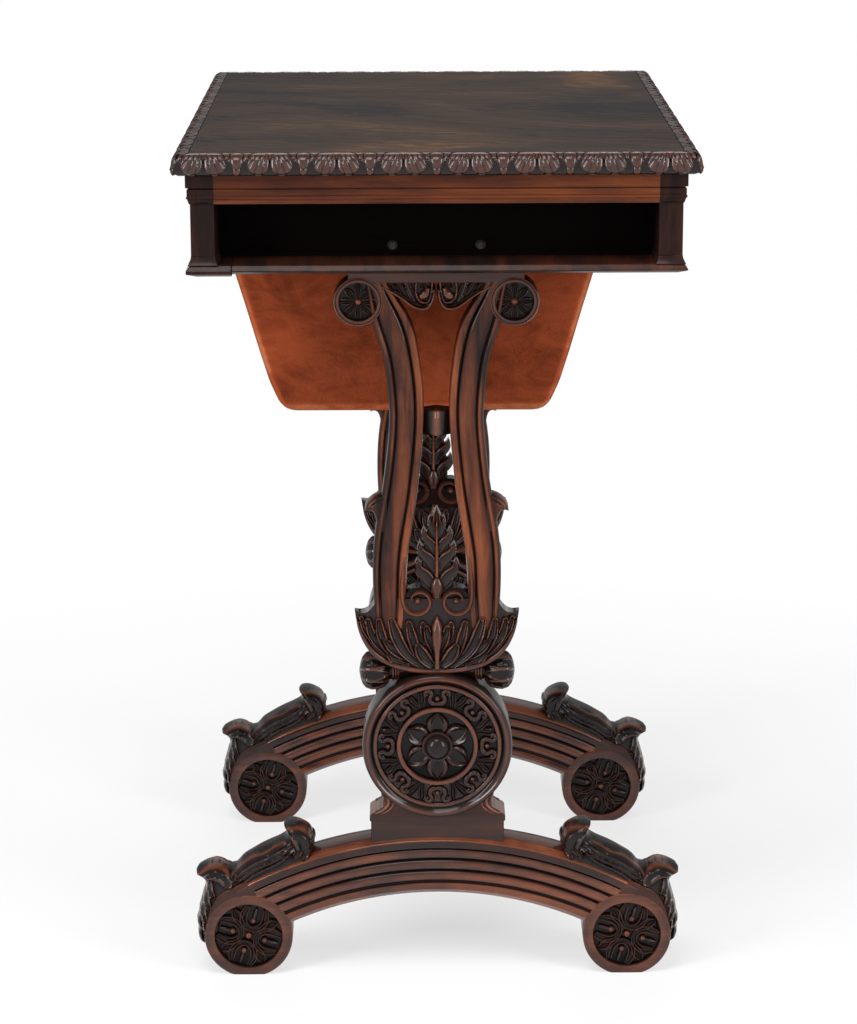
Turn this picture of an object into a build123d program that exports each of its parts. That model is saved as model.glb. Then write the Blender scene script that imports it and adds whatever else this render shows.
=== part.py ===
from build123d import *
import os
from math import asin, degrees, sqrt

# Carved rosewood work table: a lifting lid over a fitted tray, a velvet work box that pulls
# out to the front, two lyre standards and arched feet.
# Millimetres. Z is up, the origin is on the floor under the middle. The front is -X, the
# long side runs along Y, and "right" is the -Y end as seen by a person at the front.

os.makedirs("parts", exist_ok=True)

# ---- overall ----
HEIGHT = 760.0
WIDTH = 440.0
LENGTH = 600.0

# ---- lid ----
LID_THICK = 18.0
EDGE_WIDTH = 15.0
EDGE_UNDERCUT = 6.0
EDGE_LIP = 6.5
EDGE_FLAT = 1.5
LID_GAP = 0.4

# ---- case ----
CASE_HIGH = 75.6
LEDGE_THICK = 8.0
LID_OVERHANG = 11.5
CORNICE_HIGH = 24.0
CORNICE_PROUD = 3.5
LEDGE_PROUD = 1.0
LEDGE_TOP_BEVEL = 3.0
LEDGE_TOP_DROP = 4.0
LEDGE_LOW_BEVEL = 8.0
LEDGE_LOW_RISE = 3.0
POST_WIDE = 20.0
POST_FLARE = 3.0
POST_FLARE_HIGH = 9.0
END_RECESS = 51.0
SIDE_SETBACK = 8.0
PANEL_THICK = 12.0
FRONT_THICK = 26.0
BEAD_DEEP = 8.0
BEAD_HIGH = 3.0
BOLT_SPACING = 75.0
BOLT_HEAD_R = 4.5
BOLT_HEAD_HIGH = 3.0
BOLT_SHANK_R = 2.5

# ---- hinges ----
HINGE_INSET = 22.0
HINGE_LENGTH = 60.0
HINGE_R = 3.0
HINGE_LEAF = 1.5
HINGE_LEAF_WIDE = 22.0
HINGE_PIN_R = 1.3
HINGE_KNUCKLES = 5
HINGE_GAP = 0.2
HINGE_OFFSET = 0.5
PIN_CLEARANCE = 0.05

# ---- lock ----
LOCK_LONG = 50.0
LOCK_DEEP = 12.0
LOCK_HIGH = 42.0
BOLT_TRAVEL = 6.0
LOCK_BOLT_HIGH = 4.0
LOCK_BOLT_DEEP = 3.0
STRIKE_THICK = 1.5
STRIKE_HOOK = 10.0
LOCK_CLEARANCE = 0.3
KEYHOLE_R = 2.4
ESCUTCHEON_THICK = 1.5
ESCUTCHEON_HALF = (8.0, 10.0)

# ---- tray ----
TRAY_CLEARANCE = 1.0
TRAY_HIGH = 64.0
TRAY_WALL = 7.0
TRAY_FLOOR = 5.0
TRAY_REBATE = 8.0
TRAY_REBATE_IN = 3.0
DIVIDER_THICK = 5.0
DIVIDER_X = 62.0
DIVIDER_Y = (48.0, 140.0)
TRAY_LID_THICK = 4.0
TRAY_LID_GAP = 0.5
KNOB_R = 5.0
KNOB_HIGH = 9.0
CUSHION_CROWN = 6.0
CUSHION_CORNER = 12.0
CUSHION_SLOPE = 50.0

# ---- work box ----
FRONT_RAIL_WIDE = 38.0
FRONT_RAIL_THICK = 9.7
FRAME_THICK = 10.0
RUN_CLEARANCE = 0.3
RUNNER_WEB = 6.0
RUNNER_FLANGE = 8.0
RUNNER_SETBACK = 9.0
FRAME_SIDE_GAP = 0.5
BOX_LONG_X = 322.0
BOX_DEEP = 144.0
BOX_TAPER = 43.0
BOX_CORNER = 10.5
BOX_CENTRE_X = -18.8
BOX_WALL = 6.0
VELVET = 2.0
LINING = 1.0
BOX_GAP = 1.0

# ---- standards ----
STANDARD_INSET = 93.0
PLANK = 26.0
REED_DEPTH = 2.5
REED_SHARES = ((0.0, 0.17), (0.27, 0.73), (0.83, 1.0))
CAPITAL_SPREAD = 67.5
CAPITAL_DISC_R = 21.5
CAPITAL_DISC_DROP = 38.0
CAPITAL_BAR_HIGH = 21.5
CAPITAL_BAR_HALF = 76.0
CAPITAL_ROSETTE_R = 16.5
ROSETTE_SINK = 4.0
PETAL_LOW = 1.0
BEAD_TAPER = 25
CAPITAL_BEAD_HIGH = 2.0
FAN_DROP = 24.0
FAN_HALF = 57.0
FAN_DIP = 11.0
FAN_THIN = 3.0
TIE_HIGH = 22.0
TIE_HALF = 15.0
TIE_FACET = 9.0
TIE_FACET_DROP = 3.0
TIE_RIDGE_HALF = 1.6
TIE_PROUD = 1.0
TIE_AT = 0.523

# ---- calyx, roundel and pedestal ----
FOOT_CREST = 132.5
ROUNDEL_RISE = 85.0
ROUNDEL_R = 67.0
ROUNDEL_THICK = 44.0
ROUNDEL_FIELD_R = 54.0
ROUNDEL_RING_R = 37.5
ROUNDEL_SINK = 6.0
BOSS_R = 13.5
BOSS_HIGH = 11.0
FLOWER_R = 29.0
PETAL_THICK = 4.0
CALYX_SEAT = 1.0
CALYX_HIGH = 69.0
CALYX_HALF = 73.0
CALYX_BULGE = 6.0
HORN_DROP = 10.0
SHOULDER_HALF = 58.0
VOLUTE_R = 16.0
VOLUTE_EYE_R = 6.0
VOLUTE_X = 17.3
VOLUTE_RISE = 1.5
SPINDLE_HALF = 69.5
BUD_R = 17.7
SPINDLE_R = 4.5
COLLAR_R = 8.5
PEDESTAL_HALF = 61.0
PEDESTAL_NECK_HALF = 47.0
PEDESTAL_THICK = 36.0
PEDESTAL_TOP_OUT = 5.0
PEDESTAL_COVE_OUT = 3.0
PEDESTAL_COVE_TOP = 38.0
PEDESTAL_COVE_MID = 33.0
PEDESTAL_COVE_LOW = 25.0
PEDESTAL_STEP = 20.5

# ---- feet ----
FOOT_THICK = 42.0
FOOT_HIGH = 55.0
FOOT_ARC_R = 375.0
FOOT_CHAMFER = 8.0
FOOT_CHAMFER_DROP = 4.0
FOOT_DISC_X = 171.3
FOOT_DISC_R = 40.0
FOOT_FLAT = 15.0
FOOT_REED_FIRST = 11.5
FOOT_REED_PITCH = 10.6
FOOT_REED_DEPTH = 2.5
FOOT_ROSETTE_R = 30.5
FOOT_BEAD_HIGH = 3.0
DISC_PROUD = 0.5
SHOULDER_OUT = 12.7
LEAF_HALF = 17.0

# ---- stretcher ----
STRETCHER_R = 20.0
STRETCHER_COLLAR_R = 28.0
STRETCHER_TENON = 10.0
STRETCHER_TENON_LONG = 16.0

# ---- derived planes ----
half_x = WIDTH / 2
half_y = LENGTH / 2
lid_bottom = HEIGHT - LID_THICK
case_top = lid_bottom - LID_GAP
base_top = case_top - CASE_HIGH
base_bottom = base_top - LEDGE_THICK
cornice_bottom = case_top - CORNICE_HIGH
cornice_x = half_x - LID_OVERHANG
cornice_y = half_y - LID_OVERHANG
post_x = cornice_x - CORNICE_PROUD
post_y = cornice_y - CORNICE_PROUD
post_inner_x = post_x - POST_WIDE
panel_y = post_y - END_RECESS
panel_x = post_x - SIDE_SETBACK
inner_y = panel_y - PANEL_THICK
inner_front_x = -(panel_x - FRONT_THICK)
inner_back_x = panel_x - PANEL_THICK
hinge_y = inner_y - HINGE_INSET - HINGE_LENGTH / 2
hinge_ys = (-hinge_y, hinge_y)
ledge_x = cornice_x + LEDGE_PROUD
ledge_y = cornice_y + LEDGE_PROUD
standard_y = ledge_y - STANDARD_INSET

# the ends: node prefix and direction along Y
ENDS = (("right", -1), ("left", 1))

# the four sides of the case: outward direction, reach of the lid and half length along it
SIDES = (
    ("front", (-1, 0), half_x, half_y),
    ("back", (1, 0), half_x, half_y),
    ("right", (0, -1), half_y, half_x),
    ("left", (0, 1), half_y, half_x),
)


def save(piece, name):
    """Label a finished piece and write it as its own node."""
    piece.part.label = name
    export_step(piece.part, f"parts/{name}.step")


def section_plane(outward):
    """Upright plane across a moulding: local x points outwards, local y up."""
    dx, dy = outward
    return Plane(origin=(0, 0, 0), x_dir=(dx, dy, 0), z_dir=(dy, -dx, 0))


def plan_plane(outward, z):
    """Level plane at height z whose local x points outwards."""
    dx, dy = outward
    return Plane(origin=(0, 0, z), x_dir=(dx, dy, 0), z_dir=(0, 0, 1))


def end_plane(direction, offset=0.0):
    """Upright plane of a standard: local x is X, local y is Z, offset counts along +Y."""
    return Plane.XZ.offset(-(direction * standard_y + offset))


# =====================================================================================
# Lid
# =====================================================================================
hinge_x = cornice_x + HINGE_OFFSET + HINGE_R
hinge_z = lid_bottom - LID_GAP / 2
hinge_leaf_inner = hinge_x - HINGE_R - HINGE_LEAF_WIDE
lock_slot_x = inner_front_x - LOCK_DEEP / 2
keyhole_z = cornice_bottom - ESCUTCHEON_HALF[1] - LEDGE_PROUD

with BuildPart() as hinge_mortises:
    # space that the two hinges take out of the lid: a leaf mortise and a round barrel groove
    with BuildSketch(Plane.XY.offset(lid_bottom)):
        with GridLocations(0, 2 * hinge_y, 1, 2):
            with Locations(((hinge_leaf_inner + hinge_x) / 2, 0)):
                Rectangle(hinge_x - hinge_leaf_inner, HINGE_LENGTH + 2 * HINGE_GAP)
    extrude(amount=HINGE_LEAF)
    for y in hinge_ys:
        with BuildSketch(Plane.XZ.offset(-y)):
            with Locations((hinge_x, hinge_z)):
                Circle(HINGE_R + LOCK_CLEARANCE)
        extrude(amount=HINGE_LENGTH / 2 + HINGE_GAP, both=True)

with BuildPart() as lid_panel:
    with BuildSketch(Plane.XY.offset(lid_bottom)):
        Rectangle(WIDTH - 2 * EDGE_WIDTH, LENGTH - 2 * EDGE_WIDTH)
    extrude(amount=LID_THICK)
    add(hinge_mortises.part, mode=Mode.SUBTRACT)
    with BuildSketch(Plane.XY.offset(lid_bottom)):
        with Locations((lock_slot_x, 0)):
            Rectangle(LOCK_DEEP, LOCK_LONG)
    extrude(amount=STRIKE_THICK, mode=Mode.SUBTRACT)
save(lid_panel, "lid_panel")

for name, outward, reach, half_length in SIDES:
    edge_inner = reach - EDGE_WIDTH
    with BuildPart() as lid_edge:
        with BuildSketch(section_plane(outward)):
            with BuildLine():
                Polyline(
                    (reach, lid_bottom + EDGE_LIP),
                    (reach - EDGE_UNDERCUT, lid_bottom),
                    (edge_inner, lid_bottom),
                    (edge_inner, HEIGHT),
                    (edge_inner + EDGE_FLAT, HEIGHT),
                )
                ThreePointArc(
                    (edge_inner + EDGE_FLAT, HEIGHT),
                    (reach - EDGE_WIDTH * 0.22, lid_bottom + LID_THICK * 0.74),
                    (reach, lid_bottom + EDGE_LIP),
                )
            make_face()
        extrude(amount=half_length, both=True)
        with BuildSketch(plan_plane(outward, lid_bottom)):
            Polygon(
                (reach, half_length),
                (reach, -half_length),
                (edge_inner, EDGE_WIDTH - half_length),
                (edge_inner, half_length - EDGE_WIDTH),
                align=None,
            )
        extrude(amount=LID_THICK, mode=Mode.INTERSECT)
        add(hinge_mortises.part, mode=Mode.SUBTRACT)
    save(lid_edge, f"lid_edge_{name}")

# =====================================================================================
# Case
# =====================================================================================
# cornice section: how far each point stands proud of the post face, and its height
CORNICE_SECTION = (
    (0.8, 0.0),
    (1.8, 3.2),
    (1.8, 3.8),
    (2.9, 4.6),
    (2.9, 6.4),
    (1.8, 7.2),
    (2.4, 7.4),
    (2.4, 12.2),
    (1.2, 12.6),
    (1.2, 13.4),
    (CORNICE_PROUD, 13.8),
    (CORNICE_PROUD, CORNICE_HIGH),
)


def cornice_outline(inner, face):
    """Points of the cornice section between an inner line and a post face."""
    profile = [(face + proud, cornice_bottom + high) for proud, high in CORNICE_SECTION]
    return profile + [(inner, case_top), (inner, cornice_bottom)]


for name, outward, reach, half_length in SIDES:
    along_x = outward[0] != 0
    rail_inner = panel_x if along_x else panel_y
    rail_face = post_x if along_x else post_y
    rail_half = panel_y if along_x else post_inner_x
    with BuildPart() as cornice:
        with BuildSketch(section_plane(outward)):
            Polygon(*cornice_outline(rail_inner, rail_face), align=None)
        extrude(amount=rail_half, both=True)
        if name == "back":
            # mortises for the fixed hinge leaves
            with BuildSketch(Plane.XY.offset(case_top)):
                with GridLocations(0, 2 * hinge_y, 1, 2):
                    with Locations(((hinge_leaf_inner + hinge_x) / 2, 0)):
                        Rectangle(hinge_x - hinge_leaf_inner, HINGE_LENGTH + 2 * HINGE_GAP)
            extrude(amount=-HINGE_LEAF, mode=Mode.SUBTRACT)
    save(cornice, f"cornice_{name}")

flare_r = (POST_FLARE**2 + POST_FLARE_HIGH**2) / (2 * POST_FLARE)
post_mid_x = post_x - POST_WIDE / 2
post_mid_y = (panel_y + post_y) / 2

for depth_name, sx in (("front", -1), ("back", 1)):
    for end_name, sy in ENDS:
        with BuildPart() as post:
            # shaft, with a flared foot on its three free sides
            with BuildSketch(Plane.XY.offset(base_top)):
                with Locations((sx * post_mid_x, sy * post_mid_y)):
                    Rectangle(POST_WIDE, END_RECESS)
            extrude(amount=cornice_bottom - base_top)
            with BuildSketch(Plane.XY.offset(base_top)):
                with Locations((sx * post_mid_x, sy * (post_mid_y + POST_FLARE / 2))):
                    Rectangle(POST_WIDE + 2 * POST_FLARE, END_RECESS + POST_FLARE)
            extrude(amount=POST_FLARE_HIGH)
            cove_z = base_top + POST_FLARE_HIGH
            for x in (sx * (post_x + flare_r), sx * (post_inner_x - flare_r)):
                with Locations(Location((x, sy * post_mid_y, cove_z), (90, 0, 0))):
                    Cylinder(flare_r, 2 * END_RECESS, mode=Mode.SUBTRACT)
            cove_y = sy * (post_y + flare_r)
            with Locations(Location((sx * post_mid_x, cove_y, cove_z), (0, 90, 0))):
                Cylinder(flare_r, 3 * POST_WIDE, mode=Mode.SUBTRACT)
            # cornice block: the same section on both outer faces, mitred at the corner
            with BuildPart(mode=Mode.PRIVATE) as block:
                with BuildSketch(section_plane((sx, 0))):
                    Polygon(*cornice_outline(post_inner_x, post_x), align=None)
                extrude(amount=half_y, both=True)
                with BuildSketch(section_plane((0, sy))):
                    Polygon(*cornice_outline(panel_y, post_y), align=None)
                extrude(amount=half_x, both=True, mode=Mode.INTERSECT)
            add(block.part)
        save(post, f"{depth_name}_{end_name}_post")

with BuildPart() as front_panel:
    with BuildSketch(Plane.XY.offset(base_top)):
        with Locations((-(panel_x - FRONT_THICK / 2), 0)):
            Rectangle(FRONT_THICK, 2 * inner_y)
    extrude(amount=CASE_HIGH)
    # mortise for the lock, open to the top and to the inside, and the keyhole
    with BuildSketch(Plane.XY.offset(case_top)):
        with Locations((lock_slot_x, 0)):
            Rectangle(LOCK_DEEP, LOCK_LONG)
    extrude(amount=-LOCK_HIGH, mode=Mode.SUBTRACT)
    with Locations(Location((-panel_x, 0, keyhole_z), (0, 90, 0))):
        Cylinder(KEYHOLE_R, 2 * FRONT_THICK, mode=Mode.SUBTRACT)
save(front_panel, "front_panel")

with BuildPart() as back_panel:
    with BuildSketch(Plane.XY.offset(base_top)):
        with Locations((panel_x - PANEL_THICK / 2, 0)):
            Rectangle(PANEL_THICK, 2 * inner_y)
    extrude(amount=CASE_HIGH)
    with BuildSketch(Plane.XY.offset(case_top)):
        with GridLocations(0, 2 * hinge_y, 1, 2):
            with Locations(((hinge_leaf_inner + hinge_x) / 2, 0)):
                Rectangle(hinge_x - hinge_leaf_inner, HINGE_LENGTH + 2 * HINGE_GAP)
    extrude(amount=-HINGE_LEAF, mode=Mode.SUBTRACT)
save(back_panel, "back_panel")

bolt_z = base_top + BEAD_HIGH + BOLT_HEAD_R
bolt_places = [(-BOLT_SPACING / 2, bolt_z), (BOLT_SPACING / 2, bolt_z)]

for end_name, s in ENDS:
    with BuildPart() as end_panel:
        with BuildSketch(Plane.XY.offset(base_top)):
            with Locations((0, s * (panel_y - PANEL_THICK / 2))):
                Rectangle(2 * panel_x, PANEL_THICK)
        extrude(amount=CASE_HIGH)
        # stepped bead along the foot of the panel, between the posts' flared feet
        bead_half = post_inner_x - POST_FLARE - LOCK_CLEARANCE
        with BuildSketch(Plane.XY.offset(base_top)):
            with Locations((0, s * (panel_y + BEAD_DEEP / 2))):
                Rectangle(2 * bead_half, BEAD_DEEP)
        extrude(amount=BEAD_HIGH / 2)
        with BuildSketch(Plane.XY.offset(base_top)):
            with Locations((0, s * (panel_y + BEAD_DEEP / 4))):
                Rectangle(2 * bead_half, BEAD_DEEP / 2)
        extrude(amount=BEAD_HIGH)
        with BuildSketch(Plane.XZ.offset(-s * panel_y)):
            with Locations(*bolt_places):
                Circle(BOLT_SHANK_R)
        extrude(amount=s * PANEL_THICK, mode=Mode.SUBTRACT)
    save(end_panel, f"{end_name}_panel")

with BuildPart() as case_bolts:
    # two round-headed bolts through each end panel
    for end_name, s in ENDS:
        for x, z in bolt_places:
            with BuildSketch(Plane.XZ.offset(-s * panel_y)):
                with Locations((x, z)):
                    Circle(BOLT_SHANK_R)
            extrude(amount=s * PANEL_THICK)
            with BuildSketch(Plane.XZ.offset(-s * panel_y)):
                with Locations((x, z)):
                    Circle(BOLT_HEAD_R)
            extrude(amount=-s * BOLT_HEAD_HIGH, taper=30)
save(case_bolts, "case_bolts")


base_front_x = FRONT_RAIL_WIDE - ledge_x + RUN_CLEARANCE


def bevel_ledge(board, free_edges):
    """Pointed ledge moulding on the free edges of a board: long bevel below, short above."""
    top = board.faces().sort_by(Axis.Z)[-1]
    bottom = board.faces().sort_by(Axis.Z)[0]
    chamfer(free_edges(top), length=LEDGE_TOP_BEVEL, length2=LEDGE_TOP_DROP, reference=top)
    chamfer(free_edges(bottom), length=LEDGE_LOW_BEVEL, length2=LEDGE_LOW_RISE, reference=bottom)


with BuildPart() as base_board:
    with BuildSketch(Plane.XY.offset(base_bottom)):
        with Locations(((ledge_x + base_front_x) / 2, 0)):
            Rectangle(ledge_x - base_front_x, 2 * ledge_y)
    extrude(amount=LEDGE_THICK)
    bevel_ledge(base_board, lambda face: face.edges().sort_by(Axis.X)[1:])
save(base_board, "base_board")

knuckle = HINGE_LENGTH / HINGE_KNUCKLES


def knuckle_place(y, k):
    """Centre of knuckle number k of the hinge at y, with the cylinder's axis along Y."""
    return Location((hinge_x, y - HINGE_LENGTH / 2 + (k + 0.5) * knuckle, hinge_z), (90, 0, 0))


with BuildPart() as hinge_case_leaves:
    # fixed leaves with the three outer knuckles each
    for y in hinge_ys:
        with BuildSketch(Plane.XY.offset(case_top)):
            with Locations(((hinge_leaf_inner + hinge_x) / 2, y)):
                Rectangle(hinge_x - hinge_leaf_inner, HINGE_LENGTH)
        extrude(amount=-HINGE_LEAF)
        for k in range(1, HINGE_KNUCKLES, 2):
            with Locations(knuckle_place(y, k)):
                Cylinder(HINGE_R + HINGE_GAP, knuckle + HINGE_GAP, mode=Mode.SUBTRACT)
        for k in range(0, HINGE_KNUCKLES, 2):
            with Locations(knuckle_place(y, k)):
                Cylinder(HINGE_R, knuckle - HINGE_GAP)
        with Locations(Location((hinge_x, y, hinge_z), (90, 0, 0))):
            Cylinder(HINGE_PIN_R, HINGE_LENGTH, mode=Mode.SUBTRACT)
save(hinge_case_leaves, "hinge_case_leaves")

with BuildPart() as hinge_lid_leaves:
    # moving leaves with the two inner knuckles each
    for y in hinge_ys:
        with BuildSketch(Plane.XY.offset(lid_bottom)):
            with Locations(((hinge_leaf_inner + hinge_x) / 2, y)):
                Rectangle(hinge_x - hinge_leaf_inner, HINGE_LENGTH)
        extrude(amount=HINGE_LEAF)
        for k in range(0, HINGE_KNUCKLES, 2):
            with Locations(knuckle_place(y, k)):
                Cylinder(HINGE_R + HINGE_GAP, knuckle + HINGE_GAP, mode=Mode.SUBTRACT)
        for k in range(1, HINGE_KNUCKLES, 2):
            with Locations(knuckle_place(y, k)):
                Cylinder(HINGE_R, knuckle - HINGE_GAP)
        with Locations(Location((hinge_x, y, hinge_z), (90, 0, 0))):
            Cylinder(HINGE_PIN_R + PIN_CLEARANCE, HINGE_LENGTH, mode=Mode.SUBTRACT)
save(hinge_lid_leaves, "hinge_lid_leaves")

with BuildPart() as hinge_pins:
    for y in hinge_ys:
        with Locations(Location((hinge_x, y, hinge_z), (90, 0, 0))):
            Cylinder(HINGE_PIN_R, HINGE_LENGTH)
save(hinge_pins, "hinge_pins")

# =====================================================================================
# Lock: the hook under the lid drops into the case, and the bolt slides through it
# =====================================================================================
hook_wide = 3 * LOCK_BOLT_HIGH
hook_thick = LOCK_BOLT_HIGH
lock_bolt_z = case_top - STRIKE_HOOK / 2 - STRIKE_THICK
lock_bolt_long = LOCK_LONG / 2 - hook_wide / 2 - BOLT_TRAVEL - 2 * STRIKE_THICK
lock_bolt_y = -(hook_wide / 2 + LOCK_CLEARANCE + lock_bolt_long / 2)

with BuildPart() as lock_case:
    with BuildSketch(Plane.XY.offset(case_top)):
        with Locations((lock_slot_x, 0)):
            Rectangle(LOCK_DEEP, LOCK_LONG)
    extrude(amount=-LOCK_HIGH)
    # slot for the hook
    hook_space = hook_wide + 2 * LOCK_CLEARANCE
    with BuildSketch(Plane.XY.offset(case_top)):
        with Locations((lock_slot_x, 0)):
            Rectangle(LOCK_DEEP - 2 * STRIKE_THICK, hook_space)
    extrude(amount=-(STRIKE_HOOK + 2 * LOCK_CLEARANCE), mode=Mode.SUBTRACT)
    # channel for the bolt, either side of the slot
    channel_y0 = lock_bolt_y - lock_bolt_long / 2 - LOCK_CLEARANCE
    channel_y1 = hook_space / 2 + LOCK_BOLT_DEEP
    with Locations((lock_slot_x, (channel_y0 + channel_y1) / 2, lock_bolt_z)):
        Box(
            LOCK_BOLT_DEEP + 2 * LOCK_CLEARANCE,
            channel_y1 - channel_y0,
            LOCK_BOLT_HIGH + 2 * LOCK_CLEARANCE,
            mode=Mode.SUBTRACT,
        )
save(lock_case, "lock_case")

with BuildPart() as lock_bolt:
    with Locations((lock_slot_x, lock_bolt_y, lock_bolt_z)):
        Box(LOCK_BOLT_DEEP, lock_bolt_long, LOCK_BOLT_HIGH)
save(lock_bolt, "lock_bolt")

with BuildPart() as lock_strike:
    with BuildSketch(Plane.XY.offset(lid_bottom)):
        with Locations((lock_slot_x, 0)):
            Rectangle(LOCK_DEEP, LOCK_LONG)
    extrude(amount=STRIKE_THICK)
    with BuildSketch(Plane.XY.offset(lid_bottom)):
        with Locations((lock_slot_x, 0)):
            Rectangle(hook_thick + 2 * STRIKE_THICK, hook_wide)
    extrude(amount=-(STRIKE_HOOK + LID_GAP))
    # window that the bolt passes through
    with Locations((lock_slot_x, 0, lock_bolt_z)):
        Box(
            LOCK_BOLT_DEEP + 2 * LOCK_CLEARANCE,
            2 * hook_wide,
            LOCK_BOLT_HIGH + 2 * LOCK_CLEARANCE,
            mode=Mode.SUBTRACT,
        )
save(lock_strike, "lock_strike")

with BuildPart() as escutcheon:
    # oval plate round the keyhole
    with BuildSketch(Plane.YZ.offset(-panel_x)):
        with Locations((0, keyhole_z)):
            Ellipse(*ESCUTCHEON_HALF)
            Circle(KEYHOLE_R, mode=Mode.SUBTRACT)
    extrude(amount=-ESCUTCHEON_THICK)
save(escutcheon, "escutcheon")

# =====================================================================================
# Tray
# =====================================================================================
tray_x0 = inner_front_x + TRAY_CLEARANCE
tray_x1 = inner_back_x - TRAY_CLEARANCE
tray_mid_x = (tray_x0 + tray_x1) / 2
tray_wide = tray_x1 - tray_x0
tray_long = 2 * (inner_y - TRAY_CLEARANCE)
tray_top = base_top + TRAY_HIGH
divider_top = tray_top - TRAY_REBATE
cell_wide = tray_wide - 2 * TRAY_WALL
cell_long = tray_long - 2 * TRAY_WALL

with BuildPart() as tray_box:
    with BuildSketch(Plane.XY.offset(base_top)):
        with Locations((tray_mid_x, 0)):
            Rectangle(tray_wide, tray_long)
    extrude(amount=TRAY_HIGH)
    with BuildSketch(Plane.XY.offset(base_top + TRAY_FLOOR)):
        with Locations((tray_mid_x, 0)):
            Rectangle(cell_wide, cell_long)
    extrude(amount=TRAY_HIGH, mode=Mode.SUBTRACT)
    with BuildSketch(Plane.XY.offset(divider_top)):
        with Locations((tray_mid_x, 0)):
            Rectangle(cell_wide + 2 * TRAY_REBATE_IN, cell_long + 2 * TRAY_REBATE_IN)
    extrude(amount=TRAY_HIGH, mode=Mode.SUBTRACT)
save(tray_box, "tray_box")

with BuildPart() as tray_dividers:
    # two long dividers and four cross ones, halved together
    with BuildSketch(Plane.XY.offset(base_top + TRAY_FLOOR)):
        with Locations((tray_mid_x - DIVIDER_X, 0), (tray_mid_x + DIVIDER_X, 0)):
            Rectangle(DIVIDER_THICK, cell_long)
        for y in DIVIDER_Y:
            with Locations((tray_mid_x, -y), (tray_mid_x, y)):
                Rectangle(cell_wide, DIVIDER_THICK)
    extrude(amount=divider_top - base_top - TRAY_FLOOR)
save(tray_dividers, "tray_dividers")

# the four corner cells have lids that lie in the rebate and on the dividers
lid_cell_x = cell_wide / 2 + TRAY_REBATE_IN - DIVIDER_X
lid_cell_y = cell_long / 2 + TRAY_REBATE_IN - DIVIDER_Y[1]
tray_lid_mid_x = DIVIDER_X + lid_cell_x / 2
tray_lid_mid_y = DIVIDER_Y[1] + lid_cell_y / 2
tray_lid_places = [
    (tray_mid_x + sx * tray_lid_mid_x, sy * tray_lid_mid_y) for sx in (-1, 1) for sy in (-1, 1)
]

with BuildPart() as tray_lids:
    with BuildSketch(Plane.XY.offset(divider_top)):
        with Locations(*tray_lid_places):
            Rectangle(lid_cell_x - 2 * TRAY_LID_GAP, lid_cell_y - 2 * TRAY_LID_GAP)
    extrude(amount=TRAY_LID_THICK)
save(tray_lids, "tray_lids")

with BuildPart() as tray_knobs:
    # small turned knobs
    for x, y in tray_lid_places:
        knob_plane = Plane(origin=(x, y, divider_top + TRAY_LID_THICK), x_dir=(1, 0, 0), z_dir=(0, -1, 0))
        with BuildSketch(knob_plane):
            with BuildLine():
                Polyline((0, KNOB_HIGH), (0, 0), (KNOB_R * 0.8, 0), (KNOB_R * 0.4, KNOB_HIGH * 0.3))
                Polyline(
                    (KNOB_R * 0.4, KNOB_HIGH * 0.3),
                    (KNOB_R, KNOB_HIGH * 0.55),
                    (KNOB_R, KNOB_HIGH * 0.75),
                    (KNOB_R * 0.6, KNOB_HIGH * 0.96),
                    (0, KNOB_HIGH),
                )
            make_face()
        revolve(axis=Axis((x, y, 0), (0, 0, 1)))
save(tray_knobs, "tray_knobs")

with BuildPart() as pincushion:
    # padded cushion that fills the middle cell and stands a little above the dividers
    cushion_x = 2 * DIVIDER_X - DIVIDER_THICK - 2 * TRAY_LID_GAP
    cushion_y = 2 * DIVIDER_Y[0] - DIVIDER_THICK - 2 * TRAY_LID_GAP
    with BuildSketch(Plane.XY.offset(base_top + TRAY_FLOOR)):
        with Locations((tray_mid_x, 0)):
            RectangleRounded(cushion_x, cushion_y, CUSHION_CORNER)
    extrude(amount=divider_top - base_top - TRAY_FLOOR)
    with BuildSketch(Plane.XY.offset(divider_top)):
        with Locations((tray_mid_x, 0)):
            RectangleRounded(cushion_x, cushion_y, CUSHION_CORNER)
    extrude(amount=CUSHION_CROWN, taper=CUSHION_SLOPE)
save(pincushion, "pincushion")

# =====================================================================================
# Work box: everything that pulls out to the front
# =====================================================================================
plank_inner_y = standard_y - PLANK / 2
runner_outer_y = plank_inner_y - RUNNER_SETBACK
runner_web_y = runner_outer_y - RUNNER_WEB
frame_half_y = runner_web_y - FRAME_SIDE_GAP
frame_top = base_top - RUN_CLEARANCE - FRONT_RAIL_THICK
frame_bottom = frame_top - FRAME_THICK
flange_top = frame_bottom - RUN_CLEARANCE
flange_y = frame_half_y - RUNNER_FLANGE
box_half_y = flange_y - BOX_GAP
box_half_x = BOX_LONG_X / 2
box_floor = frame_bottom - BOX_DEEP
frame_back_x = BOX_CENTRE_X + box_half_x + RUNNER_FLANGE
frame_front_x = BOX_CENTRE_X - box_half_x - RUNNER_FLANGE

with BuildPart() as work_box_front_rail:
    with BuildSketch(Plane.XY.offset(frame_top)):
        with Locations((FRONT_RAIL_WIDE / 2 - ledge_x, 0)):
            Rectangle(FRONT_RAIL_WIDE, 2 * ledge_y)
    extrude(amount=FRONT_RAIL_THICK)
    bevel_ledge(work_box_front_rail, lambda face: face.edges().sort_by(Axis.X)[:-1])
save(work_box_front_rail, "work_box_front_rail")


def box_section(inset, z):
    """Half sizes of the tapering box at height z, drawn in by inset from the velvet face."""
    fall = BOX_TAPER * (frame_bottom - z) / BOX_DEEP
    return box_half_x - fall - inset, box_half_y - fall - inset


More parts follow.
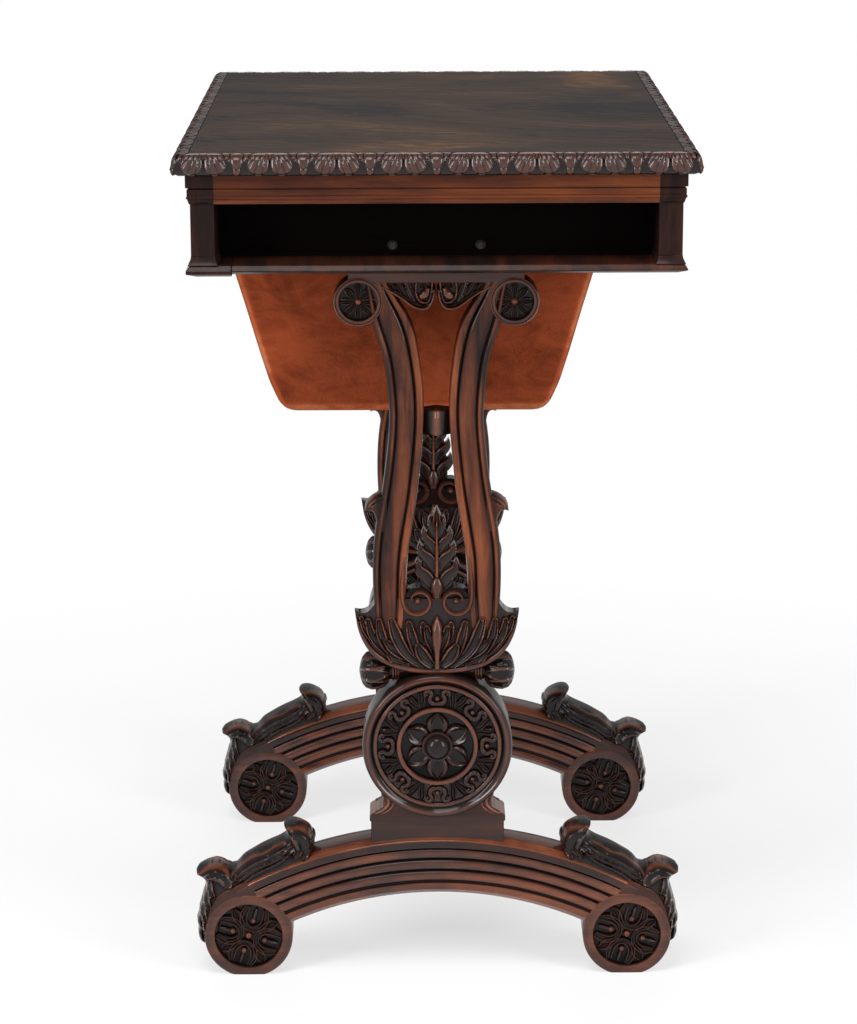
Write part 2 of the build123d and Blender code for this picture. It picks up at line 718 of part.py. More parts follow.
def tapered_block(inset, z_low):
    """Solid tapering block with rounded corners, from z_low up to the frame."""
    with BuildPart() as block:
        for z in (z_low, frame_bottom):
            hx, hy = box_section(inset, z)
            with BuildSketch(Plane.XY.offset(z)):
                with Locations((BOX_CENTRE_X, 0)):
                    RectangleRounded(2 * hx, 2 * hy, BOX_CORNER - inset)
        loft()
    return block.part


shell_out = VELVET
shell_in = VELVET + BOX_WALL
lining_in = shell_in + LINING

with BuildPart() as work_box_frame:
    # the sliding frame: a board with the mouth of the box cut through it
    mouth_x, mouth_y = box_section(shell_in, frame_bottom)
    with BuildSketch(Plane.XY.offset(frame_bottom)):
        with Locations(((frame_front_x + frame_back_x) / 2, 0)):
            Rectangle(frame_back_x - frame_front_x, 2 * frame_half_y)
        with Locations((BOX_CENTRE_X, 0)):
            Rectangle(2 * mouth_x, 2 * mouth_y, mode=Mode.SUBTRACT)
    extrude(amount=FRAME_THICK)
save(work_box_frame, "work_box_frame")

with BuildPart() as work_box_shell:
    add(tapered_block(shell_out, box_floor + shell_out))
    add(tapered_block(shell_in, box_floor + shell_in), mode=Mode.SUBTRACT)
save(work_box_shell, "work_box_shell")

with BuildPart() as velvet_cover:
    add(tapered_block(0, box_floor))
    add(tapered_block(shell_out, box_floor + shell_out), mode=Mode.SUBTRACT)
save(velvet_cover, "velvet_cover")

with BuildPart() as box_lining:
    add(tapered_block(shell_in, box_floor + shell_in))
    add(tapered_block(lining_in, box_floor + lining_in), mode=Mode.SUBTRACT)
save(box_lining, "box_lining")

runner_x0 = base_front_x
runner_x1 = post_inner_x

with BuildPart() as runners:
    # L-shaped runners: the web hangs from the base board, the flange carries the frame
    for end_name, s in ENDS:
        with BuildSketch(Plane.YZ.offset(runner_x0)):
            Polygon(
                (s * runner_outer_y, base_bottom),
                (s * runner_web_y, base_bottom),
                (s * runner_web_y, flange_top),
                (s * flange_y, flange_top),
                (s * flange_y, flange_top - RUNNER_WEB),
                (s * runner_outer_y, flange_top - RUNNER_WEB),
                align=None,
            )
        extrude(amount=runner_x1 - runner_x0)
save(runners, "runners")

# =====================================================================================
# Standards
# =====================================================================================
roundel_z = FOOT_CREST + ROUNDEL_RISE
calyx_bottom = roundel_z + ROUNDEL_R - CALYX_SEAT
shoulder_z = calyx_bottom + CALYX_HIGH
horn_z = shoulder_z - HORN_DROP
capital_top = base_bottom
bar_bottom = capital_top - CAPITAL_BAR_HIGH
disc_z = capital_top - CAPITAL_DISC_DROP
arm_bottom = shoulder_z
arm_high = capital_top - arm_bottom

# lyre arm: height as a share of the arm, half width inside and outside
ARM_STATIONS = (
    (0.00, 28.0, 58.0),
    (0.10, 26.7, 57.0),
    (0.195, 22.9, 54.5),
    (0.31, 17.3, 48.5),
    (0.41, 14.0, 44.2),
    (0.55, 11.0, 41.2),
    (0.635, 12.0, 42.9),
    (0.72, 15.3, 46.8),
    (0.81, 21.5, 55.5),
    (0.93, 43.0, 62.0),
    (0.97, 48.0, 66.0),
)
SPUR = ((0.35, 44.0), (0.335, 58.0), (0.28, 65.0), (0.265, 58.0), (0.21, 50.0))


def arm_line(share):
    """Points up the arm, at a share of the way from its inner to its outer edge."""
    return [
        (inner + share * (outer - inner), arm_bottom + t * arm_high) for t, inner, outer in ARM_STATIONS
    ]


def arm_strip(low, high):
    """Face between two such lines, as a sketch."""
    with BuildSketch(mode=Mode.PRIVATE) as strip:
        with BuildLine():
            a = Spline(*arm_line(low))
            b = Spline(*arm_line(high))
            Line(a @ 0, b @ 0)
            Line(a @ 1, b @ 1)
        make_face()
    return strip.sketch


with BuildSketch() as capital_outline:
    with Locations((0, (capital_top + bar_bottom) / 2)):
        Rectangle(2 * CAPITAL_BAR_HALF, capital_top - bar_bottom)
    with Locations((-CAPITAL_SPREAD, disc_z), (CAPITAL_SPREAD, disc_z)):
        Circle(CAPITAL_DISC_R)

with BuildSketch() as fan_outline:
    # two scalloped lobes that hang under the bar
    with BuildLine():
        Polyline((0, bar_bottom + FAN_THIN), (FAN_HALF, bar_bottom + FAN_THIN), (FAN_HALF, bar_bottom))
        Spline(
            (FAN_HALF, bar_bottom),
            (FAN_HALF * 0.5, bar_bottom - FAN_DROP * 0.66),
            (FAN_DIP, bar_bottom - FAN_DROP),
        )
        Polyline(
            (FAN_DIP, bar_bottom - FAN_DROP),
            (FAN_DIP * 0.4, bar_bottom - FAN_DROP * 0.85),
            (FAN_DIP * 0.15, bar_bottom - FAN_DROP * 0.55),
            (0, bar_bottom - FAN_DROP * 0.2),
        )
        mirror(about=Plane.YZ)
    make_face()

with BuildSketch() as calyx_outline:
    # lotus bowl with two horns, and the volutes that rise from it
    with BuildLine():
        Spline(
            (-CALYX_HALF, horn_z),
            (-CALYX_HALF * 0.95, calyx_bottom + CALYX_HIGH * 0.56),
            (-CALYX_HALF * 0.72, calyx_bottom + CALYX_HIGH * 0.21),
            (0, calyx_bottom),
            (CALYX_HALF * 0.72, calyx_bottom + CALYX_HIGH * 0.21),
            (CALYX_HALF * 0.95, calyx_bottom + CALYX_HIGH * 0.56),
            (CALYX_HALF, horn_z),
        )
        ThreePointArc(
            (CALYX_HALF, horn_z),
            (SHOULDER_HALF + 4, horn_z + 2.5),
            (SHOULDER_HALF, shoulder_z),
        )
        Line((SHOULDER_HALF, shoulder_z), (-SHOULDER_HALF, shoulder_z))
        ThreePointArc(
            (-SHOULDER_HALF, shoulder_z),
            (-SHOULDER_HALF - 4, horn_z + 2.5),
            (-CALYX_HALF, horn_z),
        )
    make_face()
    with Locations((-VOLUTE_X, shoulder_z + 1), (VOLUTE_X, shoulder_z + 1)):
        Circle(VOLUTE_R)

# palmette half outline: distance from the midrib and height above the shoulder
PALMETTE = (
    (3.0, 4.0),
    (8.0, 14.0),
    (16.0, 22.0),
    (17.5, 33.0),
    (13.5, 38.0),
    (15.0, 51.0),
    (11.5, 54.0),
    (11.0, 66.0),
    (7.5, 68.0),
    (5.0, 77.0),
    (0.0, 84.5),
)
PALMETTE_THICK = 14.0
PALMETTE_RIB = 3.0

# leaf on the end of a foot, as (x, z) from the centre of the disc: curl, spine, side curl, tail
LEAF_CURL = ((-61, 86), (-59, 95), (-48, 105), (-40, 105), (-35, 100))
LEAF_SPINE = ((-35, 100), (-39.5, 93), (-34, 87), (-21, 81), (-6, 73), (7, 65), (14, 59.5))
LEAF_SIDE = ((14, 59.5), (19, 64), (30, 66.5), (43, 57.5))
LEAF_TAIL = ((43, 57.5), (37.5, 52), (37, 46), (42.5, 32), (45.7, 16), (43, 5), (38, -4))

tie_z = arm_bottom + TIE_AT * arm_high
volute_z = shoulder_z + 1
roundel_face = ROUNDEL_THICK / 2
roundel_field = roundel_face - ROUNDEL_SINK
flower_seat = roundel_field - 1
foot_half = FOOT_THICK / 2
foot_disc_z = sqrt(FOOT_DISC_R**2 - FOOT_FLAT**2)
arc_z = FOOT_CREST - FOOT_ARC_R
shoulder_x = FOOT_DISC_X + SHOULDER_OUT
shoulder_top = arc_z + sqrt(FOOT_ARC_R**2 - shoulder_x**2)
arch_sine = shoulder_x / FOOT_ARC_R
arch_angle = degrees(asin(arch_sine))
reed_lines = [FOOT_ARC_R - FOOT_REED_FIRST - k * FOOT_REED_PITCH for k in range(4)]
arm_pairs = []
feet = []

for end_name, s in ENDS:
    with BuildPart() as capital:
        with BuildSketch(end_plane(s)):
            add(capital_outline.sketch)
        extrude(amount=PLANK / 2, both=True)
        with BuildSketch(end_plane(s)):
            add(fan_outline.sketch)
        extrude(amount=PLANK / 2 - FAN_THIN, both=True)
        for face in (-1, 1):
            with BuildSketch(end_plane(s, face * PLANK / 2)):
                with Locations((-CAPITAL_SPREAD, disc_z), (CAPITAL_SPREAD, disc_z)):
                    Circle(CAPITAL_ROSETTE_R)
            extrude(amount=face * ROSETTE_SINK, mode=Mode.SUBTRACT)
    save(capital, f"{end_name}_capital")


    with BuildPart() as arms:
        # reeded bar: a thinner core, a broad middle reed and two narrow edge reeds
        with BuildSketch(end_plane(s)):
            add(arm_strip(0, 1))
            with BuildLine():
                spur_points = [(x, arm_bottom + t * arm_high) for t, x in SPUR]
                ThreePointArc(*spur_points[:3])
                ThreePointArc(*spur_points[2:])
                Line(spur_points[4], spur_points[0])
            make_face()
        extrude(amount=PLANK / 2 - REED_DEPTH, both=True)
        for low, high in REED_SHARES:
            with BuildSketch(end_plane(s)):
                add(arm_strip(low, high))
            extrude(amount=PLANK / 2, both=True)
        with BuildSketch(end_plane(s)):
            add(capital_outline.sketch)
            add(fan_outline.sketch)
            add(calyx_outline.sketch)
        extrude(amount=PLANK, both=True, mode=Mode.SUBTRACT)
        mirror(about=Plane.YZ)
    save(arms, f"{end_name}_arms")
    arm_pairs.append(arms.part)

    with BuildPart() as palmette:
        with BuildSketch(end_plane(s)):
            with BuildLine():
                leaf = [(x, shoulder_z + z) for x, z in PALMETTE]
                Polyline(*leaf)
                Line(leaf[0], (0, leaf[0][1]))
                mirror(about=Plane.YZ)
            make_face()
            add(calyx_outline.sketch, mode=Mode.SUBTRACT)
        extrude(amount=PALMETTE_THICK / 2, both=True)
        with BuildSketch(end_plane(s)):
            Polygon(
                (-PALMETTE_RIB, shoulder_z + PALMETTE[2][1]),
                (PALMETTE_RIB, shoulder_z + PALMETTE[2][1]),
                (0, shoulder_z + PALMETTE[-2][1]),
                align=None,
            )
        extrude(amount=PALMETTE_THICK / 2 + PALMETTE_RIB / 2, both=True)
    save(palmette, f"{end_name}_palmette")

    with BuildPart() as spindle:
        # turned spindle with a lotus bud at each end
        spindle_plane = Plane(origin=(0, s * standard_y, calyx_bottom), x_dir=(1, 0, 0), z_dir=(0, -1, 0))
        with BuildSketch(spindle_plane):
            with BuildLine():
                Polyline(
                    (0, 0),
                    (0, SPINDLE_R),
                    (SPINDLE_HALF * 0.45, SPINDLE_R),
                    (SPINDLE_HALF * 0.53, COLLAR_R),
                    (SPINDLE_HALF * 0.58, COLLAR_R),
                )
                Spline(
                    (SPINDLE_HALF * 0.58, COLLAR_R),
                    (SPINDLE_HALF * 0.72, BUD_R * 0.95),
                    (SPINDLE_HALF * 0.84, BUD_R),
                    (SPINDLE_HALF * 0.95, BUD_R * 0.6),
                    (SPINDLE_HALF, 0),
                )
                Line((SPINDLE_HALF, 0), (0, 0))
            make_face()
        revolve(axis=Axis((0, s * standard_y, calyx_bottom), (1, 0, 0)))
        mirror(about=Plane.YZ)
    save(spindle, f"{end_name}_bud_spindle")

    with BuildPart() as roundel:
        # turned disc, the same on both faces: two rims, a sunk field, an inner ring
        with BuildSketch(Plane.XY.move(Location((0, s * standard_y, roundel_z)))):
            with BuildLine():
                Polyline(
                    (0, 0),
                    (0, flower_seat),
                    (ROUNDEL_RING_R - 5, flower_seat),
                    (ROUNDEL_RING_R - 4, roundel_face - 1.5),
                    (ROUNDEL_RING_R - 1, roundel_face - 1.5),
                    (ROUNDEL_RING_R, roundel_field),
                    (ROUNDEL_FIELD_R, roundel_field),
                    (ROUNDEL_FIELD_R + 1, roundel_face - 2.5),
                    (ROUNDEL_FIELD_R + 4.5, roundel_face - 1.5),
                    (ROUNDEL_FIELD_R + 5.5, roundel_face - 4),
                    (ROUNDEL_FIELD_R + 6.5, roundel_face - 1),
                    (ROUNDEL_R - 2.5, roundel_face),
                    (ROUNDEL_R, roundel_face - 3),
                    (ROUNDEL_R, 0),
                )
                mirror(about=Plane.XZ)
            make_face()
        revolve(axis=Axis((0, s * standard_y, roundel_z), (0, 1, 0)))
        # seat for the tenon of the stretcher, and the trough that the spindle lies in
        with Locations(Location((0, s * (standard_y - roundel_face), roundel_z), (90, 0, 0))):
            Cylinder(STRETCHER_TENON, 2 * STRETCHER_TENON_LONG, mode=Mode.SUBTRACT)
        add(spindle.part, mode=Mode.SUBTRACT)
    save(roundel, f"{end_name}_roundel")

    with BuildPart() as calyx:
        # lotus bowl: cut to the outline, then rounded in its thickness
        with BuildSketch(end_plane(s)):
            add(calyx_outline.sketch)
        extrude(amount=FOOT_THICK, both=True)
        with BuildSketch(Plane(origin=(0, s * standard_y, 0), x_dir=(0, 1, 0), z_dir=(1, 0, 0))):
            with BuildLine():
                Line((0, calyx_bottom), (PLANK / 2 + CALYX_BULGE / 3, calyx_bottom))
                Spline(
                    (PLANK / 2 + CALYX_BULGE / 3, calyx_bottom),
                    (PLANK / 2 + CALYX_BULGE, calyx_bottom + CALYX_HIGH * 0.4),
                    (PLANK / 2 + CALYX_BULGE / 2, calyx_bottom + CALYX_HIGH * 0.85),
                    (PLANK / 2, shoulder_z + VOLUTE_R / 2),
                )
                Polyline(
                    (PLANK / 2, shoulder_z + VOLUTE_R / 2),
                    (PLANK / 2, shoulder_z + 2 * VOLUTE_R),
                    (0, shoulder_z + 2 * VOLUTE_R),
                )
                mirror(about=Plane.YZ)
            make_face()
        extrude(amount=2 * CALYX_HALF, both=True, mode=Mode.INTERSECT)
        # scrolled volutes with a raised rim and an eye
        with BuildSketch(end_plane(s)):
            with Locations((-VOLUTE_X, volute_z), (VOLUTE_X, volute_z)):
                Circle(VOLUTE_R)
                Circle(VOLUTE_R - VOLUTE_EYE_R * 0.7, mode=Mode.SUBTRACT)
                Circle(VOLUTE_EYE_R)
        extrude(amount=PLANK / 2 + VOLUTE_RISE, both=True)
        with BuildSketch(end_plane(s)):
            with Locations((0, roundel_z)):
                Circle(ROUNDEL_R)
        extrude(amount=FOOT_THICK, both=True, mode=Mode.SUBTRACT)
        add(spindle.part, mode=Mode.SUBTRACT)
    save(calyx, f"{end_name}_calyx")

    with BuildPart() as pedestal:
        # scrolled block between the roundel and the foot
        with BuildSketch(end_plane(s)):
            with BuildLine():
                Polyline(
                    (0, roundel_z - ROUNDEL_R / 2),
                    (PEDESTAL_NECK_HALF + PEDESTAL_TOP_OUT, roundel_z - ROUNDEL_R / 2),
                    (PEDESTAL_NECK_HALF + PEDESTAL_COVE_OUT, FOOT_CREST + PEDESTAL_COVE_TOP),
                )
                Spline(
                    (PEDESTAL_NECK_HALF + PEDESTAL_COVE_OUT, FOOT_CREST + PEDESTAL_COVE_TOP),
                    (PEDESTAL_NECK_HALF, FOOT_CREST + PEDESTAL_COVE_MID),
                    (PEDESTAL_NECK_HALF + PEDESTAL_COVE_OUT, FOOT_CREST + PEDESTAL_COVE_LOW),
                    (PEDESTAL_HALF, FOOT_CREST + PEDESTAL_STEP),
                )
                Polyline(
                    (PEDESTAL_HALF, FOOT_CREST + PEDESTAL_STEP),
                    (PEDESTAL_HALF, FOOT_CREST - FOOT_REED_PITCH),
                    (0, FOOT_CREST - FOOT_REED_PITCH),
                )
                mirror(about=Plane.YZ)
            make_face()
            with Locations((0, roundel_z)):
                Circle(ROUNDEL_R, mode=Mode.SUBTRACT)
            with Locations((0, arc_z)):
                Circle(FOOT_ARC_R, mode=Mode.SUBTRACT)
        extrude(amount=PEDESTAL_THICK / 2, both=True)
    save(pedestal, f"{end_name}_pedestal")

    with BuildPart() as foot:
        # reeded arch: the section across the bar, turned about the centre of its arc
        sweep_start = Plane(
            origin=(0, s * standard_y, arc_z),
            x_dir=(0, 1, 0),
            z_dir=(sqrt(1 - arch_sine**2), 0, arch_sine),
        )
        with BuildSketch(sweep_start):
            with BuildLine():
                Polyline(
                    (0, FOOT_ARC_R - FOOT_HIGH),
                    (foot_half - FOOT_CHAMFER / 2, FOOT_ARC_R - FOOT_HIGH),
                    (foot_half - 0.5, FOOT_ARC_R - FOOT_HIGH + FOOT_CHAMFER_DROP),
                    (foot_half - 0.5, reed_lines[-1] - 1),
                    (foot_half - FOOT_REED_DEPTH, reed_lines[-1]),
                )
                for upper, lower in zip(reed_lines[:-1], reed_lines[1:]):
                    ThreePointArc(
                        (foot_half - FOOT_REED_DEPTH, lower),
                        (foot_half, (upper + lower) / 2),
                        (foot_half - FOOT_REED_DEPTH, upper),
                    )
                Polyline(
                    (foot_half - FOOT_REED_DEPTH, reed_lines[0]),
                    (foot_half, reed_lines[0] + 1),
                    (foot_half, FOOT_ARC_R - FOOT_CHAMFER_DROP),
                    (foot_half - FOOT_CHAMFER, FOOT_ARC_R),
                    (0, FOOT_ARC_R),
                )
                mirror(about=Plane.YZ)
            make_face()
        revolve(axis=Axis((0, s * standard_y, arc_z), (0, 1, 0)), revolution_arc=2 * arch_angle)
        # discs at the ends, with the scroll that joins them to the arch
        with BuildSketch(end_plane(s)):
            with BuildLine():
                Polyline(
                    (FOOT_DISC_X + FOOT_DISC_R, foot_disc_z),
                    (FOOT_DISC_X - FOOT_DISC_R / 2, foot_disc_z),
                    (shoulder_x, shoulder_top),
                )
                ThreePointArc(
                    (shoulder_x, shoulder_top),
                    (FOOT_DISC_X + FOOT_DISC_R * 0.83, foot_disc_z + FOOT_DISC_R * 0.76),
                    (FOOT_DISC_X + FOOT_DISC_R, foot_disc_z),
                )
            make_face()
            mirror(about=Plane.YZ)
        extrude(amount=foot_half - 1, both=True)
        for sx in (-1, 1):
            with Locations(Location((sx * FOOT_DISC_X, s * standard_y, foot_disc_z), (90, 0, 0))):
                Cylinder(FOOT_DISC_R, FOOT_THICK + 2 * DISC_PROUD)
        for face in (-1, 1):
            with BuildSketch(end_plane(s, face * (foot_half + DISC_PROUD))):
                with Locations((-FOOT_DISC_X, foot_disc_z), (FOOT_DISC_X, foot_disc_z)):
                    Circle(FOOT_ROSETTE_R)
            extrude(amount=face * ROSETTE_SINK, mode=Mode.SUBTRACT)
        with BuildSketch(Plane.XY):
            with Locations((0, s * standard_y)):
                Rectangle(WIDTH, 2 * FOOT_THICK)
        extrude(amount=-FOOT_DISC_R, mode=Mode.SUBTRACT)
    save(foot, f"{end_name}_foot")
    feet.append(foot.part)

with BuildPart() as roundel_flowers:
    # six-petalled flower with a turned boss, on the outer face of each roundel
    for end_name, s in ENDS:
        with BuildSketch(end_plane(s, s * flower_seat)):
            with Locations((0, roundel_z)):
                Circle(FLOWER_R * 0.5)
                with PolarLocations(FLOWER_R * 0.56, 6, start_angle=90):
                    Ellipse(FLOWER_R * 0.44, FLOWER_R * 0.24)
        extrude(amount=-s * PETAL_THICK)
        boss_base = s * (standard_y + flower_seat + PETAL_THICK)
        with BuildSketch(Plane(origin=(0, boss_base, roundel_z), x_dir=(1, 0, 0), z_dir=(0, 0, s))):
            with BuildLine():
                Polyline((0, BOSS_HIGH), (0, 0), (BOSS_R, 0), (BOSS_R, 1.5), (BOSS_R - 2.5, 1.5))
                Spline(
                    (BOSS_R - 2.5, 1.5),
                    (BOSS_R * 0.7, BOSS_HIGH * 0.6),
                    (0, BOSS_HIGH),
                    tangents=((0, 1), (-1, 0)),
                )
            make_face()
        revolve(axis=Axis((0, boss_base, roundel_z), (0, 1, 0)))
save(roundel_flowers, "roundel_flowers")

with BuildPart() as foot_leaves:
    # acanthus leaf over each end of the feet, with a curl at the top and one at the side
    for (end_name, s), foot_part in zip(ENDS, feet):
        with BuildSketch(end_plane(s)):
            with BuildLine():
                for run in (LEAF_CURL, LEAF_SPINE, LEAF_SIDE, LEAF_TAIL):
                    Spline(*[(FOOT_DISC_X + x, foot_disc_z + z) for x, z in run])
                Polyline(
                    (FOOT_DISC_X + LEAF_TAIL[-1][0], foot_disc_z + LEAF_TAIL[-1][1]),
                    (FOOT_DISC_X, foot_disc_z),
                    (FOOT_DISC_X + LEAF_CURL[0][0], foot_disc_z + LEAF_CURL[0][1] - FOOT_DISC_R),
                    (FOOT_DISC_X + LEAF_CURL[0][0], foot_disc_z + LEAF_CURL[0][1]),
                )
            make_face()
            mirror(about=Plane.YZ)
        extrude(amount=LEAF_HALF, both=True)
        add(foot_part, mode=Mode.SUBTRACT)
save(foot_leaves, "foot_leaves")

with BuildPart() as tie_blocks:
    # faceted block that joins the two arms of a lyre at the waist
    for (end_name, s), pair in zip(ENDS, arm_pairs):
        with BuildSketch(Plane(origin=(0, s * standard_y, tie_z - TIE_HIGH / 2), z_dir=(0, 0, 1))):
            with BuildLine():
                Polyline(
                    (0, PLANK / 2 + TIE_PROUD),
                    (TIE_RIDGE_HALF, PLANK / 2 + TIE_PROUD),
                    (TIE_FACET, PLANK / 2 - TIE_FACET_DROP),
                    (TIE_HALF, PLANK / 4),
                    (TIE_HALF, 0),
                )
                mirror(about=Plane.YZ)
                mirror(about=Plane.XZ)
            make_face()
        extrude(amount=TIE_HIGH)
        add(pair, mode=Mode.SUBTRACT)
save(tie_blocks, "tie_blocks")

with BuildPart() as capital_rosettes:
    # eight petals round a bead, in the sunk circles of the capitals
    for end_name, s in ENDS:
        for face in (-1, 1):
            with BuildSketch(end_plane(s, face * (PLANK / 2 - ROSETTE_SINK))):
                with Locations((-CAPITAL_SPREAD, disc_z), (CAPITAL_SPREAD, disc_z)):
                    with PolarLocations(CAPITAL_ROSETTE_R * 0.55, 8):
                        Ellipse(CAPITAL_ROSETTE_R * 0.43, CAPITAL_ROSETTE_R * 0.2)
                    Circle(CAPITAL_ROSETTE_R * 0.4)
            extrude(amount=-face * (ROSETTE_SINK - PETAL_LOW))
            with BuildSketch(end_plane(s, face * (PLANK / 2 - PETAL_LOW))):
                with Locations((-CAPITAL_SPREAD, disc_z), (CAPITAL_SPREAD, disc_z)):
                    Circle(CAPITAL_ROSETTE_R * 0.22)
            extrude(amount=-face * CAPITAL_BEAD_HIGH, taper=BEAD_TAPER)
save(capital_rosettes, "capital_rosettes")

with BuildPart() as foot_rosettes:
    # four broad petals, four narrow ones and a bead, in the sunk discs of the feet
    for end_name, s in ENDS:
        for face in (-1, 1):
            disc_face = foot_half + DISC_PROUD
            with BuildSketch(end_plane(s, face * (disc_face - ROSETTE_SINK))):
                with Locations((-FOOT_DISC_X, foot_disc_z), (FOOT_DISC_X, foot_disc_z)):
                    Circle(FOOT_ROSETTE_R * 0.5)
                    with PolarLocations(FOOT_ROSETTE_R * 0.6, 4, start_angle=45):
                        Ellipse(FOOT_ROSETTE_R * 0.36, FOOT_ROSETTE_R * 0.34)
                    with PolarLocations(FOOT_ROSETTE_R * 0.55, 4):
                        Ellipse(FOOT_ROSETTE_R * 0.4, FOOT_ROSETTE_R * 0.14)
            extrude(amount=-face * (ROSETTE_SINK - PETAL_LOW))
            with BuildSketch(end_plane(s, face * (disc_face - PETAL_LOW))):
                with Locations((-FOOT_DISC_X, foot_disc_z), (FOOT_DISC_X, foot_disc_z)):
                    Circle(FOOT_ROSETTE_R * 0.18)
            extrude(amount=-face * FOOT_BEAD_HIGH, taper=BEAD_TAPER)
save(foot_rosettes, "foot_rosettes")

with BuildPart() as stretcher:
    # turned rail between the roundels, tenoned into their inner faces
    seat_y = standard_y - flower_seat
    tenon_y = standard_y - roundel_face + STRETCHER_TENON_LONG
    with BuildSketch(Plane(origin=(0, 0, roundel_z), x_dir=(1, 0, 0), z_dir=(0, 0, 1))):
        with BuildLine():
            Spline(
                (STRETCHER_R, 0),
                (STRETCHER_R * 0.9, seat_y * 0.09),
                (STRETCHER_R * 0.45, seat_y * 0.2),
                tangents=((0, 1), (0, 1)),
            )
            Polyline(
                (STRETCHER_R * 0.45, seat_y * 0.2),
                (STRETCHER_R * 0.7, seat_y * 0.215),
                (STRETCHER_R * 0.7, seat_y * 0.24),
                (STRETCHER_R * 0.45, seat_y * 0.25),
            )
            Spline(
                (STRETCHER_R * 0.45, seat_y * 0.25),
                (STRETCHER_R * 0.78, seat_y * 0.62),
                (STRETCHER_R * 0.5, seat_y * 0.83),
            )
            Polyline(
                (STRETCHER_R * 0.5, seat_y * 0.83),
                (STRETCHER_R * 0.85, seat_y * 0.845),
                (STRETCHER_R * 0.85, seat_y * 0.87),
                (STRETCHER_R * 0.6, seat_y * 0.88),
                (STRETCHER_COLLAR_R, seat_y * 0.94),
                (STRETCHER_COLLAR_R, seat_y),
                (STRETCHER_TENON, seat_y),
                (STRETCHER_TENON, tenon_y),
                (0, tenon_y),
            )
            mirror(about=Plane.XZ)
            Line((0, tenon_y), (0, -tenon_y))
        make_face()
    revolve(axis=Axis((0, 0, roundel_z), (0, 1, 0)))
save(stretcher, "stretcher")
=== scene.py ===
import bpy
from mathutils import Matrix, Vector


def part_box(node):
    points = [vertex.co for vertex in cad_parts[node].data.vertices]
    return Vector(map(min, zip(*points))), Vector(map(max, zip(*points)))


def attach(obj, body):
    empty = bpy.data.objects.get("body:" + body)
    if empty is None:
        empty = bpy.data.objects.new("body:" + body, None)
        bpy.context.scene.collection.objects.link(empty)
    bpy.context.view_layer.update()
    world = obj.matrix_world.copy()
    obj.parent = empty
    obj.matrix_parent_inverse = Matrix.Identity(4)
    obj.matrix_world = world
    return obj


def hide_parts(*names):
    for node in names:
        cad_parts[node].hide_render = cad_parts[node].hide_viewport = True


bl_info = {
    "name": "Lyre work table",
    "version": (1, 0, 0),
    "blender": (4, 5, 0),
    "location": "View3D > Sidebar > Work table",
    "description": "Carving, timber, velvet and stage of a lyre-end work table",
    "category": "Add Mesh",
}

import math

import bpy
import numpy as np
from bpy.props import FloatProperty, FloatVectorProperty, IntProperty, PointerProperty
from mathutils import Matrix, Vector
from mathutils.geometry import tessellate_polygon

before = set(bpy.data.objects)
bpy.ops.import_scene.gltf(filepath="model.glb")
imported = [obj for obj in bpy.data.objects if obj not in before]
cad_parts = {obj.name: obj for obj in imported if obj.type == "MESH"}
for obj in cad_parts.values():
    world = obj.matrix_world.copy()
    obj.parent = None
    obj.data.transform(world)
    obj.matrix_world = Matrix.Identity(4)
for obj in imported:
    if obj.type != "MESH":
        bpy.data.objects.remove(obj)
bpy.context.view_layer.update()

MM = 0.001
FRAME_MM = 1000.0
ENDS = (("right", -1), ("left", 1))
FACES = (-1, 1)
SHARP_ANGLE = math.radians(38)
# metres within which doubled corners of a node are welded
WELD_REACH = 0.00002
# how soon a face that looks up counts as dusty
DUST_GAIN = 1.15
# depth in the covered part, where nothing is covered yet
FAR_OUTSIDE = -60.0
# most that a border point of a plank moves towards its outline, as a share of the grid's step
SNAP_SHARE = 0.75
# share of its height that a crowned plank keeps at its border
CROWN_EDGE = 0.08


def node_box(name):
    """Lowest and highest corner of a node of the frame, in millimetres."""
    low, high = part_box(name)
    return np.array(low) * FRAME_MM, np.array(high) * FRAME_MM


# ---- sizes read from the frame, in millimetres ----
capital_low, capital_high = node_box("left_capital")
roundel_low, roundel_high = node_box("left_roundel")
_, foot_high = node_box("left_foot")
_, calyx_high = node_box("left_calyx")
spindle_low, spindle_high = node_box("left_bud_spindle")
pedestal_low, pedestal_high = node_box("left_pedestal")
tie_low, tie_high = node_box("tie_blocks")
_, stretcher_high = node_box("stretcher")
velvet_low, velvet_high = node_box("velvet_cover")
lining_low, lining_high = node_box("box_lining")
cushion_low, cushion_high = node_box("pincushion")
edge_low, edge_high = node_box("lid_edge_front")

standard_y = (capital_low[1] + capital_high[1]) / 2
plank_half = (capital_high[1] - capital_low[1]) / 2
capital_top = capital_high[2]
roundel_z = (roundel_low[2] + roundel_high[2]) / 2
roundel_r = (roundel_high[2] - roundel_low[2]) / 2
roundel_face = (roundel_high[1] - roundel_low[1]) / 2
foot_crest = foot_high[2]
spindle_half = spindle_high[0]
spindle_z = (spindle_low[2] + spindle_high[2]) / 2
calyx_half = calyx_high[0]
edge_reach = -edge_low[0]
edge_wide = edge_high[0] - edge_low[0]
edge_bottom, edge_top = edge_low[2], edge_high[2]

